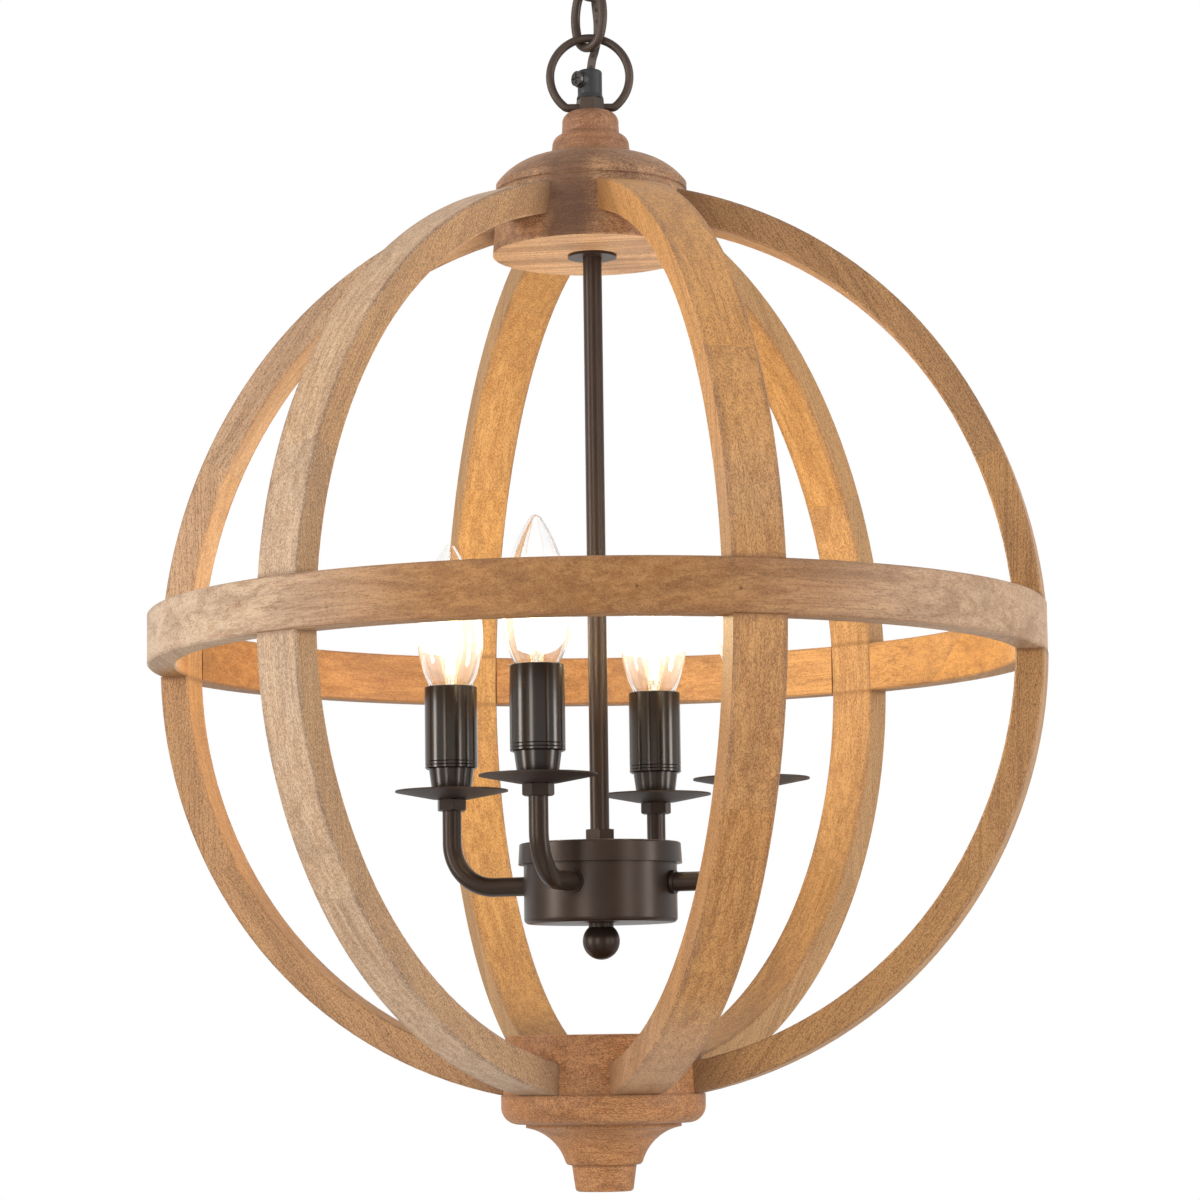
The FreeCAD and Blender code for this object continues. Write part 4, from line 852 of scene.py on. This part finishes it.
def makeLitFinish():
    # a lit strand: hotter in patches along its length
    material, tree, shader = newFinish("litStrand")
    coords = tree.nodes.new("ShaderNodeTexCoord")
    flicker = noise(tree, coords.outputs["Object"], filament["flickerScale"])
    heat = between(tree, flicker, *filament["flicker"])
    wire(tree, blendColour(tree, heat, filament["cool"], filament["hot"]),
         shader.inputs["Emission Color"])
    shader.inputs["Emission Strength"].default_value = filament["litStrength"]
    shader.inputs["Base Color"].default_value = (*filament["unlit"], 1)
    shader.inputs["Roughness"].default_value = filament["litRoughness"]
    return material


def makeStemGlass():
    material, tree, shader = newFinish("stemGlass")
    coords = tree.nodes.new("ShaderNodeTexCoord")
    smear = noise(tree, coords.outputs["Object"], filament["stemSmearScale"], 3, 0.6)
    wire(tree, between(tree, smear, *filament["stemSmear"]), shader.inputs["Roughness"])
    shader.inputs["Base Color"].default_value = (*filament["stemColour"], 1)
    shader.inputs["Transmission Weight"].default_value = 1
    shader.inputs["IOR"].default_value = filament["stemIndex"]
    return material


def makePostFinish():
    material, tree, shader = newFinish("postWire")
    coords = tree.nodes.new("ShaderNodeTexCoord")
    coat = useGroup(tree, sprayedCoat, Vector=coords.outputs["Object"], Colour=filament["wire"],
                    Rubbed=filament["wireRubbed"], Mottle=filament["wireMottle"],
                    Wear=filament["wireWear"], Roughness=filament["wireRoughness"])
    wire(tree, coat["Colour"], shader.inputs["Base Color"])
    wire(tree, coat["Roughness"], shader.inputs["Roughness"])
    shader.inputs["Metallic"].default_value = 1
    return material


def fixPlace(piece, material):
    # settles a new piece: its place goes into the mesh, one finish all over
    bpy.ops.object.transform_apply(location=True, rotation=True, scale=True)
    piece.data.materials.clear()
    piece.data.materials.append(material)
    return piece


def addRod(material, start, end, radius, sides=12, rounding=0.0):
    way = Vector(end) - Vector(start)
    middle = (Vector(end) + Vector(start)) / 2
    bpy.ops.object.select_all(action="DESELECT")
    bpy.ops.mesh.primitive_cylinder_add(vertices=sides, radius=radius, depth=way.length,
                                        location=middle,
                                        rotation=way.to_track_quat("Z", "Y").to_euler())
    rod = bpy.context.object
    if rounding:
        bevel = rod.modifiers.new("round", "BEVEL")
        bevel.width = rounding
        bevel.segments = 3
        bpy.ops.object.modifier_apply(modifier=bevel.name)
    return fixPlace(rod, material)


def addStem(material):
    # a flared glass foot drawn up into a thin stem
    bpy.ops.object.select_all(action="DESELECT")
    radius, level = filament["stem"][0]
    bpy.ops.mesh.primitive_circle_add(vertices=filament["sides"], radius=radius,
                                      fill_type="NGON", location=(0, 0, level))
    stem = bpy.context.object
    bpy.ops.object.mode_set(mode="EDIT")
    for after, height in filament["stem"][1:]:
        bpy.ops.mesh.extrude_region_move(TRANSFORM_OT_translate={"value": (0, 0, height - level)})
        bpy.ops.transform.resize(value=(after / radius, after / radius, 1),
                                 center_override=(0, 0, height))
        radius, level = after, height
    bpy.ops.mesh.select_all(action="SELECT")
    bpy.ops.mesh.normals_make_consistent(inside=False)
    bpy.ops.object.mode_set(mode="OBJECT")
    return fixPlace(stem, material)


def modelFilament(finishes):
    # stem, post, slanted strands between their metal ends, and the spokes that hold them
    strand, glass, post = finishes
    sizes = filament
    parts = [addStem(glass)]
    top = sizes["topLevel"]
    postFoot = sizes["stem"][-1][1] - sizes["postOverlap"]
    parts.append(addRod(post, (0, 0, postFoot), (0, 0, top), sizes["postRadius"]))
    bpy.ops.object.select_all(action="DESELECT")
    bpy.ops.mesh.primitive_ico_sphere_add(subdivisions=3, radius=sizes["beadRadius"],
                                          location=(0, 0, top))
    bead = bpy.context.object
    bead.data.shade_smooth()
    parts.append(fixPlace(bead, glass))
    for number in range(sizes["strands"]):
        angle = math.radians(sizes["firstTurn"] + number * 360 / sizes["strands"])
        foot, head = (Vector((reach * math.cos(angle), reach * math.sin(angle), level))
                      for reach, level in (sizes["strandFoot"], sizes["strandTop"]))
        way = (head - foot).normalized() * sizes["capLength"]
        parts.append(addRod(strand, foot + way, head - way, sizes["strandRadius"], 12,
                            sizes["strandRound"]))
        parts.append(addRod(post, foot, foot + way, sizes["capRadius"]))
        parts.append(addRod(post, head - way, head, sizes["capRadius"]))
        parts.append(addRod(post, head, (0, 0, top), sizes["spokeRadius"], 8))
        parts.append(addRod(post, foot, (0, 0, sizes["stem"][-2][1]), sizes["spokeRadius"], 8))
    bpy.ops.object.select_all(action="DESELECT")
    for part in parts:
        part.select_set(True)
    bpy.context.view_layer.objects.active = parts[0]
    bpy.ops.object.join()
    bpy.ops.object.shade_smooth_by_angle(angle=math.radians(filament["smoothBelow"]))
    return bpy.context.object


def finishBulbs():
    glass = makeGlassFinish()
    first = modelFilament((makeLitFinish(), makeStemGlass(), makePostFinish()))
    for number in range(bulbs["count"]):
        name = number + 1
        x, y = bulbPlace(number)
        paint("bulb_glass_%d" % name, glass)
        piece = newObject("litFilament%d" % name, first.data.copy())
        turn = Matrix.Rotation(math.radians(bulbs["firstAngle"] + 90 * number), 4, "Z")
        piece.data.transform(Matrix.Translation((x, y, ringLevel)) @ turn)
        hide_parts("bulb_filament_%d" % name)
        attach(piece, "bulb_%d" % name)
        nodes["bulb_glass_%d" % name].visible_shadow = False
        piece.visible_shadow = False
        data = bpy.data.lights.new("bulbLamp%d" % name, "POINT")
        data.energy = bulbs["lampPower"]
        data.color = bulbs["lampColour"]
        data.shadow_soft_size = bulbs["lampRadius"]
        lamp = newObject("bulbLamp%d" % name, data)
        lamp.visible_camera = False
        lamp.visible_transmission = False
        lamp.location = (x, y, ringLevel + bulbs["glowLevel"] / 2)
    bpy.data.objects.remove(first)


finishBulbs()
print("bulbs finished")


# supply cord, threaded through the links, in one stretch per link

cordSizes = {
    "route": [(0, 0, -0.1734), (0, 0, -0.1570), (0.0039, 0.0059, -0.1435),
              (0.0049, 0.0052, -0.1330), (0.0034, 0.0103, -0.1180), (0.0016, 0.0109, -0.0940),
              (0.0005, 0.0098, -0.0680), (0, 0.0220, -0.0370), (0, 0.0220, -0.0140)],
    "radius": 0.00225,
    "sides": 20,
    "stepsPerRun": 16,
    "stretches": [
        # name, bodies, level of the joint, lowest and highest level of the stretch
        ("cordInLoop", "orb", "bottom_link", -0.1409, -1.0, -0.1282),
        ("cordInBottomLink", "bottom_link", "middle_link", -0.1155, -0.1282, -0.1029),
        ("cordInMiddleLink", "middle_link", "top_link", -0.0903, -0.1029, -0.0764),
        ("cordInTopLink", "top_link", "ceiling_fixing", -0.0625, -0.0764, 1.0),
    ],
    "bendHalf": 0.0105,
    # woven cover: radians along a metre and once round, where its gaps show, and its colours
    "weaveAlong": 900, "weaveRound": 4 * math.pi, "gapShows": (0.2, -0.7),
    "dirtScale": 260, "dirtShows": (0.3, 0.7), "roughness": (0.2, 0.8, 0.62, 0.78),
    "cover": (0.105, 0.080, 0.066), "coverPale": (0.150, 0.120, 0.102),
    "gap": (0.055, 0.040, 0.033),
    "specular": 0.3, "bumpStrength": 0.35, "bumpDistance": 0.0003,
}


def cordLine():
    curve = bpy.data.curves.new("cordRoute", "CURVE")
    curve.dimensions = "3D"
    spline = curve.splines.new("NURBS")
    spline.points.add(len(cordSizes["route"]) - 1)
    for point, place in zip(spline.points, cordSizes["route"]):
        point.co = (*place, 1)
    spline.order_u = 3
    spline.use_endpoint_u = True
    spline.resolution_u = cordSizes["stepsPerRun"]
    curve.resolution_u = cordSizes["stepsPerRun"]
    holder = newObject("cordRoute", curve)
    bpy.context.view_layer.update()
    mesh = bpy.data.meshes.new_from_object(holder)
    points = [vertex.co.copy() for vertex in mesh.vertices]
    bpy.data.objects.remove(holder)
    bpy.data.meshes.remove(mesh)
    return points


def makeCordFinish():
    material, tree, shader = newFinish("cordCover")
    coords = tree.nodes.new("ShaderNodeTexCoord")
    u, v = axes(tree, coords.outputs["UV"])[:2]
    along = reckon(tree, "MULTIPLY", v, cordSizes["weaveAlong"])
    around = reckon(tree, "MULTIPLY", u, cordSizes["weaveRound"])
    weave = reckon(tree, "MAXIMUM",
                   reckon(tree, "SINE", reckon(tree, "ADD", along, around)),
                   reckon(tree, "SINE", reckon(tree, "SUBTRACT", along, around)))
    dirt = noise(tree, coords.outputs["Object"], cordSizes["dirtScale"], 3, 0.6)
    colour = blendColour(tree, between(tree, dirt, *cordSizes["dirtShows"]), cordSizes["cover"],
                         cordSizes["coverPale"])
    colour = blendColour(tree, between(tree, weave, *cordSizes["gapShows"]), colour,
                         cordSizes["gap"])
    wire(tree, colour, shader.inputs["Base Color"])
    wire(tree, between(tree, dirt, *cordSizes["roughness"]), shader.inputs["Roughness"])
    shader.inputs["Specular IOR Level"].default_value = cordSizes["specular"]
    raiseSurface(tree, shader, weave, cordSizes["bumpStrength"], cordSizes["bumpDistance"])
    return material


def cordHoops(line, count):
    # a ring of corners round each point of the line, carried along it without a twist
    across = Vector((1, 0, 0))
    hoops = []
    for number, point in enumerate(line):
        ahead = line[min(number + 1, len(line) - 1)] - line[max(number - 1, 0)]
        ahead.normalize()
        across = (across - ahead * across.dot(ahead)).normalized()
        other = ahead.cross(across)
        hoops.append([point + (across * math.cos(2 * math.pi * side / count)
                               + other * math.sin(2 * math.pi * side / count)) * cordSizes["radius"]
                      for side in range(count)])
    return hoops


def tubeFaces(steps, count):
    faces = []
    for step in range(steps):
        for side in range(count):
            after = (side + 1) % count
            faces.append((step * count + side, step * count + after,
                          (step + 1) * count + after, (step + 1) * count + side))
    faces.append(tuple(reversed(range(count))))
    faces.append(tuple(range(steps * count, (steps + 1) * count)))
    return faces


def mapTube(mesh, count, travelled):
    # u goes once round the tube, v is the distance along the whole cord
    layer = mesh.uv_layers.new(name="cordMap")
    for face in mesh.polygons:
        sides = [vertex % count for vertex in face.vertices]
        atSeam = len(sides) == 4 and count - 1 in sides
        for loop in face.loop_indices:
            vertex = mesh.loops[loop].vertex_index
            side = vertex % count
            if side == 0 and atSeam:
                side = count
            layer.data[loop].uv = (side / count, travelled[vertex // count])


def makeCord():
    line = cordLine()
    count = cordSizes["sides"]
    travelled = [0.0]
    for first, second in zip(line, line[1:]):
        travelled.append(travelled[-1] + (second - first).length)
    print("cord line %.1f mm long" % (travelled[-1] * 1000))
    hoops = cordHoops(line, count)
    material = makeCordFinish()
    for name, lower, upper, level, lowest, highest in cordSizes["stretches"]:
        chosen = [number for number, point in enumerate(line) if lowest <= point.z <= highest]
        if chosen[-1] < len(line) - 1:
            chosen.append(chosen[-1] + 1)  # meets the next stretch
        mesh = bpy.data.meshes.new(name)
        mesh.from_pydata([tuple(corner) for number in chosen for corner in hoops[number]], [],
                         tubeFaces(len(chosen) - 1, count))
        mapTube(mesh, count, [travelled[number] for number in chosen])
        mesh.materials.append(material)
        mesh.shade_smooth()
        piece = newObject(name, mesh)
        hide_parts("supply_cord")
        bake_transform(piece)


makeCord()
print("cord threaded")
